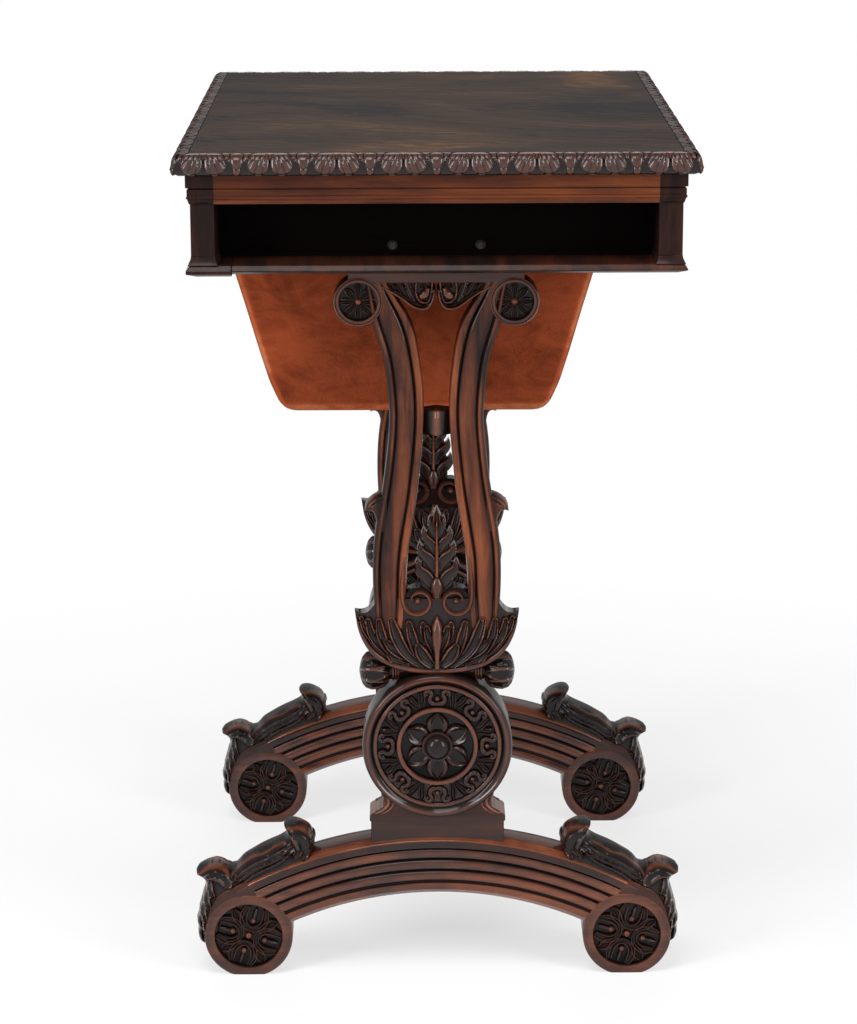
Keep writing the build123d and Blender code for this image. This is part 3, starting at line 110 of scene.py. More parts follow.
# ---- sizes of the carving and the cloth, in millimetres ----
CAPITAL_DISC_R = 21.5
CAPITAL_SUNK_R = 16.5
CAPITAL_SINK = 4.0
BAR_HIGH = 21.5
BAR_HALF = 76.0
FAN_HALF = 57.0
FAN_DROP = 24.0
FAN_DIP = 11.0
SHOULDER_HALF = 58.0
CALYX_HIGH = 69.0
HORN_DROP = 12.0
VOLUTE_X = 17.0
VOLUTE_DROP = 2.0
COLLAR_SHARE = 0.60
FOOT_DISC_R = 40.0
FOOT_FLAT = 15.0
FOOT_ARC_R = 375.0
FOOT_HIGH = 55.0
FOOT_HALF = 21.0
FOOT_SUNK_R = 30.5
FOOT_SINK = 4.0
REED_FIRST = 11.5
REED_PITCH = 10.6
ROUNDEL_SINK = 6.0
ROUNDEL_HEART_SINK = 7.0
STRETCHER_MOST_R = 28.0
EDGE_PITCH = 54.4
EDGE_DOWN = 24.0
EDGE_RISE = 0.62
EDGE_SET_IN = 0.3
VELVET_TAPER = 43.0
VELVET_CORNER = 10.5
VELVET_THICK = 1.6
PLEAT_DEPTH = 0.45

disc_x = capital_high[0] - CAPITAL_DISC_R
disc_z = capital_low[2] + CAPITAL_DISC_R
bar_bottom = capital_top - BAR_HIGH
foot_disc_x = foot_high[0] - FOOT_DISC_R
foot_disc_z = math.sqrt(FOOT_DISC_R**2 - FOOT_FLAT**2)
arc_z = foot_crest - FOOT_ARC_R
calyx_bottom = roundel_z + roundel_r - 1.0
shoulder_z = calyx_bottom + CALYX_HIGH
horn_z = shoulder_z - HORN_DROP
arm_high = capital_top - shoulder_z

# lyre arm: height as a share of the arm, distance of the inner and outer edge from the middle
ARM_STATIONS = (
    (-0.10, 31.0, 54.0),
    (-0.05, 29.5, 55.0),
    (0.00, 28.0, 56.0),
    (0.10, 26.7, 56.6),
    (0.195, 22.9, 54.5),
    (0.31, 17.3, 48.5),
    (0.41, 14.0, 44.2),
    (0.55, 11.0, 41.2),
    (0.635, 12.0, 42.9),
    (0.72, 15.3, 46.8),
    (0.81, 21.5, 55.5),
    (0.93, 43.0, 62.0),
    (0.97, 48.0, 66.0),
)

# outer edge of the spur on an arm: distance from the middle, height over the shoulder
SPUR = (
    (46.0, 99.0),
    (48.0, 95.0),
    (53.0, 93.2),
    (58.7, 89.3),
    (62.4, 84.3),
    (63.4, 79.4),
    (60.6, 80.4),
    (57.2, 80.0),
    (54.6, 76.5),
    (53.2, 70.5),
    (53.2, 60.0),
)

# reeds across an arm: share of the width, depth below the face, how worn (its low values in the
# grooves paint shade)
ARM_REEDS = (
    (0.000, 3.4, 0.35),
    (0.010, 1.2, 0.75),
    (0.035, 0.2, 1.00),
    (0.110, 0.0, 0.85),
    (0.185, 0.2, 0.80),
    (0.205, 0.8, 0.60),
    (0.218, 2.5, 0.05),
    (0.245, 2.8, 0.00),
    (0.265, 2.1, 0.10),
    (0.290, 0.9, 0.45),
    (0.350, 0.2, 0.70),
    (0.460, 0.0, 0.72),
    (0.600, 0.1, 0.65),
    (0.720, 0.7, 0.45),
    (0.770, 1.6, 0.20),
    (0.790, 2.7, 0.02),
    (0.810, 2.5, 0.05),
    (0.830, 1.0, 0.55),
    (0.860, 0.3, 0.85),
    (0.900, 0.3, 0.70),
    (0.945, 1.2, 0.40),
    (0.980, 2.8, 0.25),
    (1.000, 4.8, 0.15),
)


# =====================================================================================
# Mesh data
# =====================================================================================
class Solid:
    """Closed mesh data: points in millimetres, quads, triangles and how worn each point is, whose
    low values paint shade in hollows.
    """

    def __init__(self, points, quads, tris, wear):
        self.points = np.asarray(points, float)
        self.quads = np.asarray(quads, int).reshape(-1, 4)
        self.tris = np.asarray(tris, int).reshape(-1, 3)
        self.wear = np.asarray(wear, float)

    def all_tris(self):
        halves = [self.tris, self.quads[:, [0, 1, 2]], self.quads[:, [0, 2, 3]]]
        return np.concatenate(halves)

    def outward(self):
        """The same solid with its faces pointing out."""
        a, b, c = (self.points[self.all_tris()[:, k]] for k in range(3))
        if np.einsum("ij,ij->", a, np.cross(b, c)) < 0:
            return Solid(self.points, self.quads[:, ::-1], self.tris[:, ::-1], self.wear)
        return self

    def mapped(self, place):
        """The solid with each point moved by a function on the point array."""
        return Solid(place(self.points.copy()), self.quads, self.tris, self.wear).outward()


def joined(solids):
    """Several solids as one set of mesh data."""
    start, points, quads, tris, wear = 0, [], [], [], []
    for solid in solids:
        points.append(solid.points)
        quads.append(solid.quads + start)
        tris.append(solid.tris + start)
        wear.append(solid.wear)
        start += len(solid.points)
    return Solid(
        np.concatenate(points), np.concatenate(quads), np.concatenate(tris), np.concatenate(wear)
    )


def level(ring, z, centre=(0.0, 0.0)):
    """Points of a plan ring about a centre, at one height."""
    return np.column_stack([ring[:, 0] + centre[0], ring[:, 1] + centre[1], np.full(len(ring), z)])


def ray(turn):
    """Unit vector at an angle."""
    return np.array([math.cos(turn), math.sin(turn)])


def lifted(path, up):
    """A path of the face, moved up."""
    return [(a, b + up) for a, b in path]


def curve(points, count):
    """Even points along a natural cubic spline through given ones."""
    p = np.asarray(points, float)
    t = np.r_[0, np.cumsum(np.linalg.norm(np.diff(p, axis=0), axis=1))]
    s = np.linspace(0, t[-1], count)
    n = len(p)
    if n == 2:
        return p[0] + (p[1] - p[0]) * (s / t[-1])[:, None]
    h = np.diff(t)
    a, b = np.eye(n), np.zeros_like(p)
    for i in range(1, n - 1):
        a[i, i - 1 : i + 2] = h[i - 1], 2 * (h[i - 1] + h[i]), h[i]
        b[i] = 6 * ((p[i + 1] - p[i]) / h[i] - (p[i] - p[i - 1]) / h[i - 1])
    m = np.linalg.solve(a, b)
    k = np.clip(np.searchsorted(t, s, side="right") - 1, 0, n - 2)
    hk, u, w = h[k][:, None], (t[k + 1] - s)[:, None], (s - t[k])[:, None]
    bend = (m[k] * u**3 + m[k + 1] * w**3) / (6 * hk)
    return bend + (p[k] / hk - m[k] * hk / 6) * u + (p[k + 1] / hk - m[k + 1] * hk / 6) * w


def spread(values, count):
    """Values given at even places along a length, eased out to count places."""
    places = np.linspace(0, 1, count)
    return np.interp(places, np.linspace(0, 1, len(values)), values)


def loft(rings, wear, cyclic=False):
    """Closed solid through rings of points; a cyclic one joins its last ring to its first."""
    rings = np.asarray(rings, float)
    rows, cols = rings.shape[:2]
    wear = np.broadcast_to(wear, (rows, cols)).ravel()
    index = np.arange(rows * cols).reshape(rows, cols)
    nxt = np.roll(index, -1, axis=1)
    last = rows if cyclic else rows - 1
    up, up_nxt = np.roll(index, -1, axis=0)[:last], np.roll(nxt, -1, axis=0)[:last]
    quads = np.stack([index[:last], nxt[:last], up_nxt, up], -1).reshape(-1, 4)
    points = rings.reshape(-1, 3)
    if cyclic:
        return Solid(points, quads, [], wear).outward()
    ends = np.stack([rings[0].mean(0), rings[-1].mean(0)])
    first, top = np.full(cols, rows * cols), np.full(cols, rows * cols + 1)
    tris = np.concatenate(
        [np.stack([nxt[0], index[0], first], 1), np.stack([index[-1], nxt[-1], top], 1)]
    )
    end_wear = [wear[:cols].mean(), wear[-cols:].mean()]
    return Solid(np.concatenate([points, ends]), quads, tris, np.r_[wear, end_wear]).outward()


def lathe(rows, segments):
    """Solid turned about the local h axis from rows of radius, height and how worn (low values
    paint shade), axis to axis.
    """
    rows = np.asarray(rows, float)
    angle = np.linspace(0, 2 * math.pi, segments, endpoint=False)
    inner = rows[1:-1]
    rings = np.stack(
        [
            np.outer(np.cos(angle), inner[:, 0]),
            np.outer(np.sin(angle), inner[:, 0]),
            np.broadcast_to(inner[:, 1], (segments, len(inner))),
        ],
        -1,
    ).transpose(1, 0, 2)
    solid = loft(rings, inner[:, 2, None])
    solid.points[-2:] = [[0, 0, rows[0, 1]], [0, 0, rows[-1, 1]]]
    return solid


def slab(outline, low, high, bevel=0.8, wear=(0.4, 0.9)):
    """Solid of a flat outline between two heights, with bevelled rims."""
    outline = np.asarray(outline, float)
    ahead = np.roll(outline, -1, axis=0) - np.roll(outline, 1, axis=0)
    area = np.sum(np.cross(outline, np.roll(outline, -1, axis=0)))
    normal = np.stack([ahead[:, 1], -ahead[:, 0]], 1) * np.sign(area)
    normal /= np.linalg.norm(normal, axis=1)[:, None] + 1e-9
    drawn_in = outline - normal * bevel
    rims = ((drawn_in, low), (outline, low + bevel), (outline, high - bevel), (drawn_in, high))
    rim_wear = np.array([wear[0], wear[1], wear[1], wear[0]])[:, None]
    body = loft([level(shape, h) for shape, h in rims], rim_wear)
    n = len(outline)
    caps = np.array(tessellate_polygon([[Vector((*p, 0)) for p in drawn_in]]), int)
    tris = np.concatenate([caps[:, ::-1], caps + 3 * n])
    if np.cross(*(drawn_in[caps[0, [1, 2]]] - drawn_in[caps[0, 0]])) < 0:
        tris = tris[:, ::-1]
    points, quads, worn = body.points[: 4 * n], body.quads, body.wear[: 4 * n]
    across = points[quads[:, 0]] - points[quads[:, 2]]
    along = points[quads[:, 1]] - points[quads[:, 3]]
    facing = np.cross(across, along)[n : 2 * n, :2]
    if np.sum(facing * normal[quads[n : 2 * n, 0] % n]) < 0:
        quads = quads[:, ::-1]
    return Solid(points, quads, tris, worn)


def both_sides(half, skip=0):
    """Profile rows of one side of the middle and, in reverse, of the other."""
    return np.concatenate([half, half[::-1][skip:] * (1, -1, 1)])


def cup(v):
    """Height across a hollowed leaf: raised, rounded rims and a low middle."""
    a = np.abs(v)
    rims = 0.62 * np.exp(-(((a - 0.74) / 0.27) ** 2))
    return 0.38 + rims - 0.30 * np.clip((a - 0.88) / 0.12, 0, 1)


def cup_rib(v):
    """A hollowed leaf with a rib down its middle."""
    return np.maximum(cup(v), 0.9 * np.exp(-((v / 0.2) ** 2)))


def full(v):
    """Height across a rounded leaf or band."""
    return np.sqrt(np.clip(1.06 - v**2, 0.02, 1))


def blurred(field, reach):
    """Field smoothed by two passes of a square box."""
    for _ in range(2):
        for axis in (0, 1):
            pad = [(0, 0), (0, 0)]
            pad[axis] = (reach + 1, reach)
            total = np.cumsum(np.pad(field, pad, mode="edge"), axis=axis)
            span = 2 * reach + 1
            high, low = (slice(span, None), slice(None, -span))
            cut = (high, slice(None)) if axis == 0 else (slice(None), high)
            low_cut = (low, slice(None)) if axis == 0 else (slice(None), low)
            field = (total[cut] - total[low_cut]) / span
    return field


class Relief:
    """Height field over a face, built up by gouge strokes on the right half and mirrored."""

    def __init__(self, a, b, ground, mirror=True):
        self.true_a, self.b = np.broadcast_arrays(np.asarray(a, float), np.asarray(b, float))
        self.a = np.abs(self.true_a) if mirror else self.true_a
        self.ground = np.broadcast_to(np.asarray(ground, float), self.a.shape)
        self.h = self.ground.copy()
        self.rub = np.zeros(self.a.shape)
        self.cover = np.full(self.a.shape, FAR_OUTSIDE)

    def stroke(self, spine, widths, heights, across=full, rub=0.0, steps=52):
        """Raise a band along a spine: half widths and heights along it, a profile across it."""
        line = curve(spine, steps)
        half, rise = spread(widths, steps), spread(heights, steps)
        ahead = np.gradient(line, axis=0)
        reach = half.max() + 2.0
        low, high = line.min(0) - reach, line.max(0) + reach
        near = (self.a > low[0]) & (self.a < high[0]) & (self.b > low[1]) & (self.b < high[1])
        away_a = self.a[near][:, None] - line[:, 0]
        away_b = self.b[near][:, None] - line[:, 1]
        far = np.hypot(away_a, away_b)
        k = np.argmin(far - half, axis=1)
        rows = np.arange(len(k))
        side = ahead[k, 0] * away_b[rows, k] - ahead[k, 1] * away_a[rows, k]
        depth = half[k] - far[rows, k]
        v = np.sign(side) * np.clip(far[rows, k] / half[k], 0, 1)
        value = self.ground[near] + rise[k] * across(v)
        self.h[near] = np.where(depth > 0, value, self.h[near])
        self.rub[near] = np.where(depth > 0, rub, self.rub[near])
        self.cover[near] = np.maximum(self.cover[near], depth)

    def fill(self, outline):
        """Take the inside of a closed outline into the covered part."""
        ring = np.asarray(outline, float)
        after = np.roll(ring, -1, axis=0)
        p = np.stack([self.a.ravel(), self.b.ravel()], 1)
        step = after - ring
        share = np.einsum("ijk,jk->ij", p[:, None] - ring, step) / (np.sum(step**2, axis=1) + 1e-9)
        near = ring + np.clip(share, 0, 1)[..., None] * step
        far = np.min(np.linalg.norm(p[:, None] - near, axis=2), axis=1)
        crosses = (ring[:, 1] > p[:, 1:]) != (after[:, 1] > p[:, 1:])
        slope = step[:, 0] / np.where(np.abs(step[:, 1]) < 1e-9, 1e-9, step[:, 1])
        meet = ring[:, 0] + (p[:, 1:] - ring[:, 1]) * slope
        inside = np.sum(crosses & (p[:, :1] < meet), axis=1) % 2 == 1
        depth = np.where(inside, far, -far).reshape(self.a.shape)
        self.cover = np.maximum(self.cover, depth)

    def wear(self, soft=3, gain=0.34, base=0.29):
        """How worn each point is, with painted shade: ridges are rubbed, hollows are darkened as
        shade.
        """
        bulge = self.h - blurred(self.h, soft)
        return np.clip(base + gain * bulge + self.rub, 0, 1)

    def plate(self):
        """Closed solid of the whole grid, the same on both faces."""
        front = np.dstack([self.true_a, self.b, self.h])
        worn = self.wear()
        rings = np.concatenate([front, front[:, ::-1] * (1, 1, -1)], axis=1)
        return loft(rings, np.concatenate([worn, worn[:, ::-1]], axis=1))

    def plank(self, rounding, crown=False):
        """Closed solid of the covered part of an even grid, with rounded or crowned edges."""
        depth = self.cover
        step = abs(self.true_a[1, 0] - self.true_a[0, 0])
        cell = depth[:-1, :-1] + depth[1:, :-1] + depth[:-1, 1:] + depth[1:, 1:] > 0
        # cells that meet at a corner only are joined by filling one of their neighbours
        for _ in range(6):
            m = np.pad(cell, 1)
            a, b, c, d = m[:-1, :-1], m[1:, :-1], m[:-1, 1:], m[1:, 1:]
            one, two = a & d & ~b & ~c, b & c & ~a & ~d
            if not (one.any() or two.any()):
                break
            b |= one
            a |= two
            cell = m[1:-1, 1:-1].copy()
        m = np.pad(cell, 1).astype(int)
        count = m[:-1, :-1] + m[1:, :-1] + m[:-1, 1:] + m[1:, 1:]
        grad = np.stack(np.gradient(depth, step), -1)
        grad /= np.maximum(np.linalg.norm(grad, axis=-1), 0.5)[..., None]
        border = (count > 0) & (count < 4)
        most = SNAP_SHARE * step
        snap = np.where(border, np.clip(-depth, -most, most), 0)[..., None] * grad
        t = np.clip(np.where(border, 0, depth) / rounding, 0, 1)
        curve_in = np.sqrt(np.clip(1 - (1 - t) ** 2, 0, 1))
        if crown:
            h = self.h * (CROWN_EDGE + (1 - CROWN_EDGE) * curve_in)
        else:
            h = self.h - rounding * (1 - curve_in)
        flat_a, flat_b = self.true_a + snap[..., 0], self.b + snap[..., 1]
        used = np.flatnonzero(count.ravel() > 0)
        index = np.full(count.size, -1)
        index[used] = np.arange(len(used))
        index = index.reshape(count.shape)
        i, j = np.nonzero(cell)
        p00, p10, p11, p01 = index[i, j], index[i + 1, j], index[i + 1, j + 1], index[i, j + 1]
        n = len(used)
        quads = [np.stack([p00, p10, p11, p01], 1), np.stack([p00, p01, p11, p10], 1) + n]
        wide = np.pad(cell, 1)
        for free, first, second in (
            (~wide[i, j + 1], p00, p01),
            (~wide[i + 2, j + 1], p11, p10),
            (~wide[i + 1, j], p10, p00),
            (~wide[i + 1, j + 2], p01, p11),
        ):
            f, g = first[free], second[free]
            quads.append(np.stack([f, g, g + n, f + n], 1))
        points = [np.stack([x.ravel()[used] for x in (flat_a, flat_b, z)], 1) for z in (h, -h)]
        worn = self.wear().ravel()[used]
        return Solid(np.concatenate(points), np.concatenate(quads), [], np.r_[worn, worn]).outward()


def even_grid(low, high, step):
    """Even grid of plan points between two corners."""
    a = np.arange(low[0], high[0] + step, step)
    b = np.arange(low[1], high[1] + step, step)
    return a[:, None] + 0 * b, b[None, :] + 0 * a[:, None]


def feather(v):
    """Height across an overlapping lobe: a crest on its upper side, sloping to the other."""
    crest = 0.36 * np.exp(-(((v - 0.72) / 0.22) ** 2))
    return 0.42 + 0.22 * (v + 1) / 2 + crest - 0.1 * (v > 0.95)


def leaf(spine, widths, heights, across=cup, rows=14, cols=11, sink=2.5, worn=1.0):
    """Carved leaf in (a, b, h): a spine in the face, half widths and heights along it."""
    line = curve(spine, rows)
    ahead = np.gradient(line, axis=0)
    side = np.stack([ahead[:, 1], -ahead[:, 0]], 1)
    side /= np.linalg.norm(side, axis=1)[:, None] + 1e-9
    half, rise = spread(widths, rows), spread(heights, rows)
    v = np.linspace(-1, 1, cols)
    shape = across(v)
    flat = line[:, None] + side[:, None] * (half[:, None] * v)[..., None]
    top = np.dstack([flat, rise[:, None] * shape])
    low = np.dstack([flat[:, [-1, 0]], np.full((rows, 2), -sink)])
    wear = np.concatenate([shape**1.5 * worn, [0.1, 0.1]])
    return loft(np.concatenate([top, low], axis=1), wear)


def bead(a, b, radius, high, low=-2.0, worn=0.9):
    """Small round bead on a face."""
    turn = np.linspace(0, math.pi / 2, 6)
    profile = [(0, high)] + [(radius * math.sin(t), high * math.cos(t)) for t in turn[1:]]
    profile += [(radius, low), (0, low)]
    wear = [worn] * 4 + [worn * 0.6, 0.1, 0.0, 0.0]
    return moved(lathe(np.column_stack([profile, wear]), 20), a, b)


def mirrored(solids):
    """Solids and their mirror images across the middle line."""
    return list(solids) + [s.mapped(lambda p: p * (-1, 1, 1)) for s in solids]


def raised(solid, ground):
    """A relief set on a ground, given as a height or a function of the points."""

    def place(p):
        p[:, 2] += ground(p) if callable(ground) else ground
        return p

    return solid.mapped(place)


def moved(solid, a, b, turn=0.0):
    """A relief turned about its origin and moved within the face."""
    c, s = math.cos(turn), math.sin(turn)

    def place(p):
        x, y = p[:, 0].copy(), p[:, 1].copy()
        p[:, 0], p[:, 1] = a + c * x - s * y, b + s * x + c * y
        return p

    return solid.mapped(place)


def on_face(solid, end, face):
    """From (a, b, h) to the frame: a along X, b up, h outwards from the standard's middle."""

    def place(p):
        return np.column_stack([p[:, 0], end * standard_y + face * p[:, 2], p[:, 1]])

    return solid.mapped(place)


def on_both_faces(solid, end):
    """A relief stamped on both faces of one standard."""
    return joined([on_face(solid, end, face) for face in FACES])


# =====================================================================================
# Geometry Nodes: copies of a motif along a line or round a centre
# =====================================================================================
def connect(tree, links):
    """Join nodes of a tree: each link is a node, its output, the next node and its input."""
    for source, output, target, entry in links:
        tree.links.new(source.outputs[output], target.inputs[entry])


def repeat_tree():
    """Tree that repeats its geometry: Count copies, each a Step and a Turn on from the last."""
    tree = bpy.data.node_groups.get("repeat motif")
    if tree:
        return tree
    tree = bpy.data.node_groups.new("repeat motif", "GeometryNodeTree")
    sockets = (
        ("Geometry", "NodeSocketGeometry"),
        ("Count", "NodeSocketInt"),
        ("Step", "NodeSocketVector"),
        ("Turn", "NodeSocketFloat"),
        ("Start", "NodeSocketFloat"),
        ("Material", "NodeSocketMaterial"),
    )
    for name, kind in sockets:
        tree.interface.new_socket(name, in_out="INPUT", socket_type=kind)
    tree.interface.new_socket("Geometry", in_out="OUTPUT", socket_type="NodeSocketGeometry")
    new = tree.nodes.new
    given, made = new("NodeGroupInput"), new("NodeGroupOutput")
    line, index = new("GeometryNodeMeshLine"), new("GeometryNodeInputIndex")
    angle, rotation = new("ShaderNodeMath"), new("ShaderNodeCombineXYZ")
    place, real = new("GeometryNodeInstanceOnPoints"), new("GeometryNodeRealizeInstances")
    finish = new("GeometryNodeSetMaterial")
    angle.operation = "MULTIPLY_ADD"
    links = (
        (given, "Count", line, "Count"),
        (given, "Step", line, "Offset"),
        (index, 0, angle, 0),
        (given, "Turn", angle, 1),
        (given, "Start", angle, 2),
        (angle, 0, rotation, "Z"),
        (line, "Mesh", place, "Points"),
        (given, "Geometry", place, "Instance"),
        (rotation, 0, place, "Rotation"),
        (place, "Instances", real, "Geometry"),
        (real, "Geometry", finish, "Geometry"),
        (given, "Material", finish, "Material"),
        (finish, "Geometry", made, "Geometry"),
    )
    connect(tree, links)
    return tree


def read_back(thing):
    """Mesh data of an object with its modifiers, in millimetres."""
    evaluated = thing.evaluated_get(bpy.context.evaluated_depsgraph_get())
    mesh = bpy.data.meshes.new_from_object(evaluated)
    points = np.zeros(len(mesh.vertices) * 3)
    mesh.vertices.foreach_get("co", points)
    corners = np.zeros(len(mesh.loops), int)
    mesh.loops.foreach_get("vertex_index", corners)
    starts, totals = np.zeros(len(mesh.polygons), int), np.zeros(len(mesh.polygons), int)
    mesh.polygons.foreach_get("loop_start", starts)
    mesh.polygons.foreach_get("loop_total", totals)
    wear = np.full(len(mesh.vertices), 0.3)
    if "wear" in mesh.attributes:
        mesh.attributes["wear"].data.foreach_get("value", wear)
    quads = corners[starts[totals == 4][:, None] + np.arange(4)]
    tris = corners[starts[totals == 3][:, None] + np.arange(3)]
    bpy.data.meshes.remove(mesh)
    return Solid(points.reshape(-1, 3) / MM, quads, tris, wear)


def discard(thing):
    """Remove an object and its mesh."""
    data = thing.data
    bpy.data.objects.remove(thing)
    bpy.data.meshes.remove(data)


def repeated(solid, count, step=(0, 0, 0), turn=0.0, start=0.0, finish="rosewood carved"):
    """A motif repeated by Geometry Nodes and read back as plain mesh data."""
    source = mesh_object("motif", solid, finish)
    modifier = source.modifiers.new("repeat", "NODES")
    modifier.node_group = repeat_tree()
    values = {
        "Count": count,
        "Step": tuple(MM * s for s in step),
        "Turn": turn,
        "Start": start,
        "Material": material(finish),
    }
    for item in modifier.node_group.interface.items_tree:
        if item.in_out == "INPUT" and item.name in values:
            modifier[item.identifier] = values[item.name]
    made = read_back(source)
    discard(source)
    return made


def mesh_object(name, solid, finish):
    """A Blender object of some mesh data, in metres, with how worn it is (painted shade where low)
    and its dust kept as attributes.
    """
    mesh = bpy.data.meshes.new(name)
    faces = solid.quads.tolist() + solid.tris.tolist()
    mesh.from_pydata((solid.points * MM).tolist(), [], faces)
    worn = mesh.attributes.new("wear", "FLOAT", "POINT")
    worn.data.foreach_set("value", np.clip(solid.wear, 0, 1).astype(np.float32))
    normal = np.zeros(len(mesh.vertices) * 3)
    mesh.vertices.foreach_get("normal", normal)
    dusty = mesh.attributes.new("dust", "FLOAT", "POINT")
    dusty.data.foreach_set("value", np.clip(normal[2::3] * DUST_GAIN, 0, 1).astype(np.float32))
    mesh.polygons.foreach_set("use_smooth", [True] * len(mesh.polygons))
    mesh.set_sharp_from_angle(angle=SHARP_ANGLE)
    mesh.materials.append(material(finish))
    thing = bpy.data.objects.new(name, mesh)
    bpy.context.scene.collection.objects.link(thing)
    return thing


def swollen(solid, voxel, pressure, cap, frames):
    """A solid blown up like a stuffed pad by a short cloth simulation, in millimetres."""
    thing = mesh_object("pad shape", solid, "velvet pile")
    even = thing.modifiers.new("even", "REMESH")
    even.mode, even.voxel_size = "VOXEL", voxel * MM
    flat = read_back(thing)
    thing.modifiers.clear()
    thing.data.clear_geometry()
    faces = flat.quads.tolist() + flat.tris.tolist()
    thing.data.from_pydata((flat.points * MM).tolist(), [], faces)
    scene = bpy.context.scene
    cloth = thing.modifiers.new("pad", "CLOTH")
    cloth.point_cache.frame_start, cloth.point_cache.frame_end = 1, frames
    cloth.settings.use_pressure = True
    cloth.settings.uniform_pressure_force = pressure
    cloth.settings.effector_weights.gravity = 0
    for number in range(1, frames + 1):
        scene.frame_set(number)
    blown = read_back(thing)
    scene.frame_set(1)
    thing.modifiers.clear()
    move = blown.points - flat.points
    far = np.linalg.norm(move, axis=1)[:, None]
    flat.points = flat.points + move * np.minimum(1, cap / np.maximum(far, 1e-6))
    thing.data.vertices.foreach_set("co", (flat.points * MM).ravel())
    thing.modifiers.new("smooth", "SUBSURF").levels = 1
    made = read_back(thing)
    discard(thing)
    return made


def piece(name, solids, finish, body, nodes):
    """A finished piece of the table that rides on a body and stands for some nodes."""
    thing = mesh_object(name, joined(solids), finish)
    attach(thing, body)
    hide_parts(*nodes)
    return thing


# =====================================================================================
# Materials
# =====================================================================================
class Socket:
    """A shader value that can stand in a sum; each operator adds a Math node."""

    def __init__(self, shader, socket):
        self.shader, self.socket = shader, socket

    def _math(self, operation, first, second):
        return self.shader.node("ShaderNodeMath", {"operation": operation}, {0: first, 1: second})

    def __add__(self, other):
        return self._math("ADD", self, other)

    __radd__ = __add__

    def __mul__(self, other):
        return self._math("MULTIPLY", self, other)

    __rmul__ = __mul__

    def __sub__(self, other):
        return self._math("SUBTRACT", self, other)

    def __rsub__(self, other):
        return self._math("SUBTRACT", other, self)

    def clamped(self):
        settings = {"operation": "ADD", "use_clamp": True}
        return self.shader.node("ShaderNodeMath", settings, {0: self, 1: 0.0})


class Shader:
    """One material and its nodes."""

    def __init__(self, name):
        self.material = bpy.data.materials.new(name)
        self.material.use_nodes = True
        self.tree = self.material.node_tree
        self.tree.nodes.clear()

    def node(self, kind, settings=None, inputs=None, output=0):
        """Add a node: its settings first, then its sockets' values or links."""
        node = self.tree.nodes.new(kind)
        for key, value in (settings or {}).items():
            if key == "stops":
                self._stops(node.color_ramp, value)
            else:
                setattr(node, key, value)
        for key, value in (inputs or {}).items():
            if isinstance(value, Socket):
                self.tree.links.new(value.socket, node.inputs[key])
            else:
                node.inputs[key].default_value = value
        return Socket(self, node.outputs[output])

    @staticmethod
    def _stops(ramp, stops):
        while len(ramp.elements) < len(stops):
            ramp.elements.new(0.5)
        for element, (place, colour) in zip(ramp.elements, stops):
            element.position, element.color = place, colour

    def place(self, scale=(1, 1, 1), turn=(0, 0, 0), shift=(0, 0, 0)):
        """Object coordinates, turned and scaled."""
        at = self.node("ShaderNodeTexCoord", output="Object")
        inputs = {"Vector": at, "Scale": scale, "Rotation": turn, "Location": shift}
        return self.node("ShaderNodeMapping", None, inputs)

    def stretched(self, vector, scale):
        return self.node("ShaderNodeMapping", None, {"Vector": vector, "Scale": scale})

    def attribute(self, name):
        return self.node("ShaderNodeAttribute", {"attribute_name": name}, output="Fac")

    def noise(self, vector, scale, detail=3.0, roughness=0.5, distortion=0.0):
        inputs = {
            "Vector": vector,
            "Scale": scale,
            "Detail": detail,
            "Roughness": roughness,
            "Distortion": distortion,
        }
        return self.node("ShaderNodeTexNoise", None, inputs)

    def ramp(self, value, stops):
        return self.node("ShaderNodeValToRGB", {"stops": stops}, {"Fac": value}, "Color")

    def mix(self, factor, first, second):
        settings = {"data_type": "RGBA", "blend_type": "MIX"}
        return self.node("ShaderNodeMix", settings, {0: factor, 6: first, 7: second}, 2)

    def bump(self, height, strength, distance):
        inputs = {"Height": height, "Strength": strength, "Distance": distance}
        return self.node("ShaderNodeBump", None, inputs)

    def surface(self, **inputs):
        """Principled surface on the output; a name stands for its socket."""
        names = {key.replace("_", " "): value for key, value in inputs.items()}
        shader = self.node("ShaderNodeBsdfPrincipled", None, names)
        self.node_output(shader)

    def node_output(self, shader):
        output = self.tree.nodes.new("ShaderNodeOutputMaterial")
        self.tree.links.new(shader.socket, output.inputs["Surface"])


def rgb(colour, factor=1.0):
    """A linear colour with alpha, scaled."""
    return (*(min(1.0, c * factor) for c in colour[:3]), 1.0)


GRAIN_TURN = {
    "X": (0.0, 0.0, 0.0),
    "Y": (0.0, 0.0, math.pi / 2),
    "Z": (0.0, math.pi / 2, 0.0),
}


def timber_figure(shader, axis, scale=1.0):
    """Streaks along the grain, their fine pores and a slow change of tone."""
    turned = shader.place(turn=GRAIN_TURN[axis])
    stretch = shader.stretched(turned, (3.0 * scale, 34.0 * scale, 34.0 * scale))
    streaks = shader.noise(stretch, 1.6, 5.0, 0.62, 0.9)
    thin = shader.stretched(turned, (9.0 * scale, 260.0 * scale, 260.0 * scale))
    pores = shader.noise(thin, 1.7, 2.0, 0.5, 0.2)
    slow = shader.noise(turned, 9.0 * scale, 2.0, 0.5, 0.6)
    return streaks, pores, slow


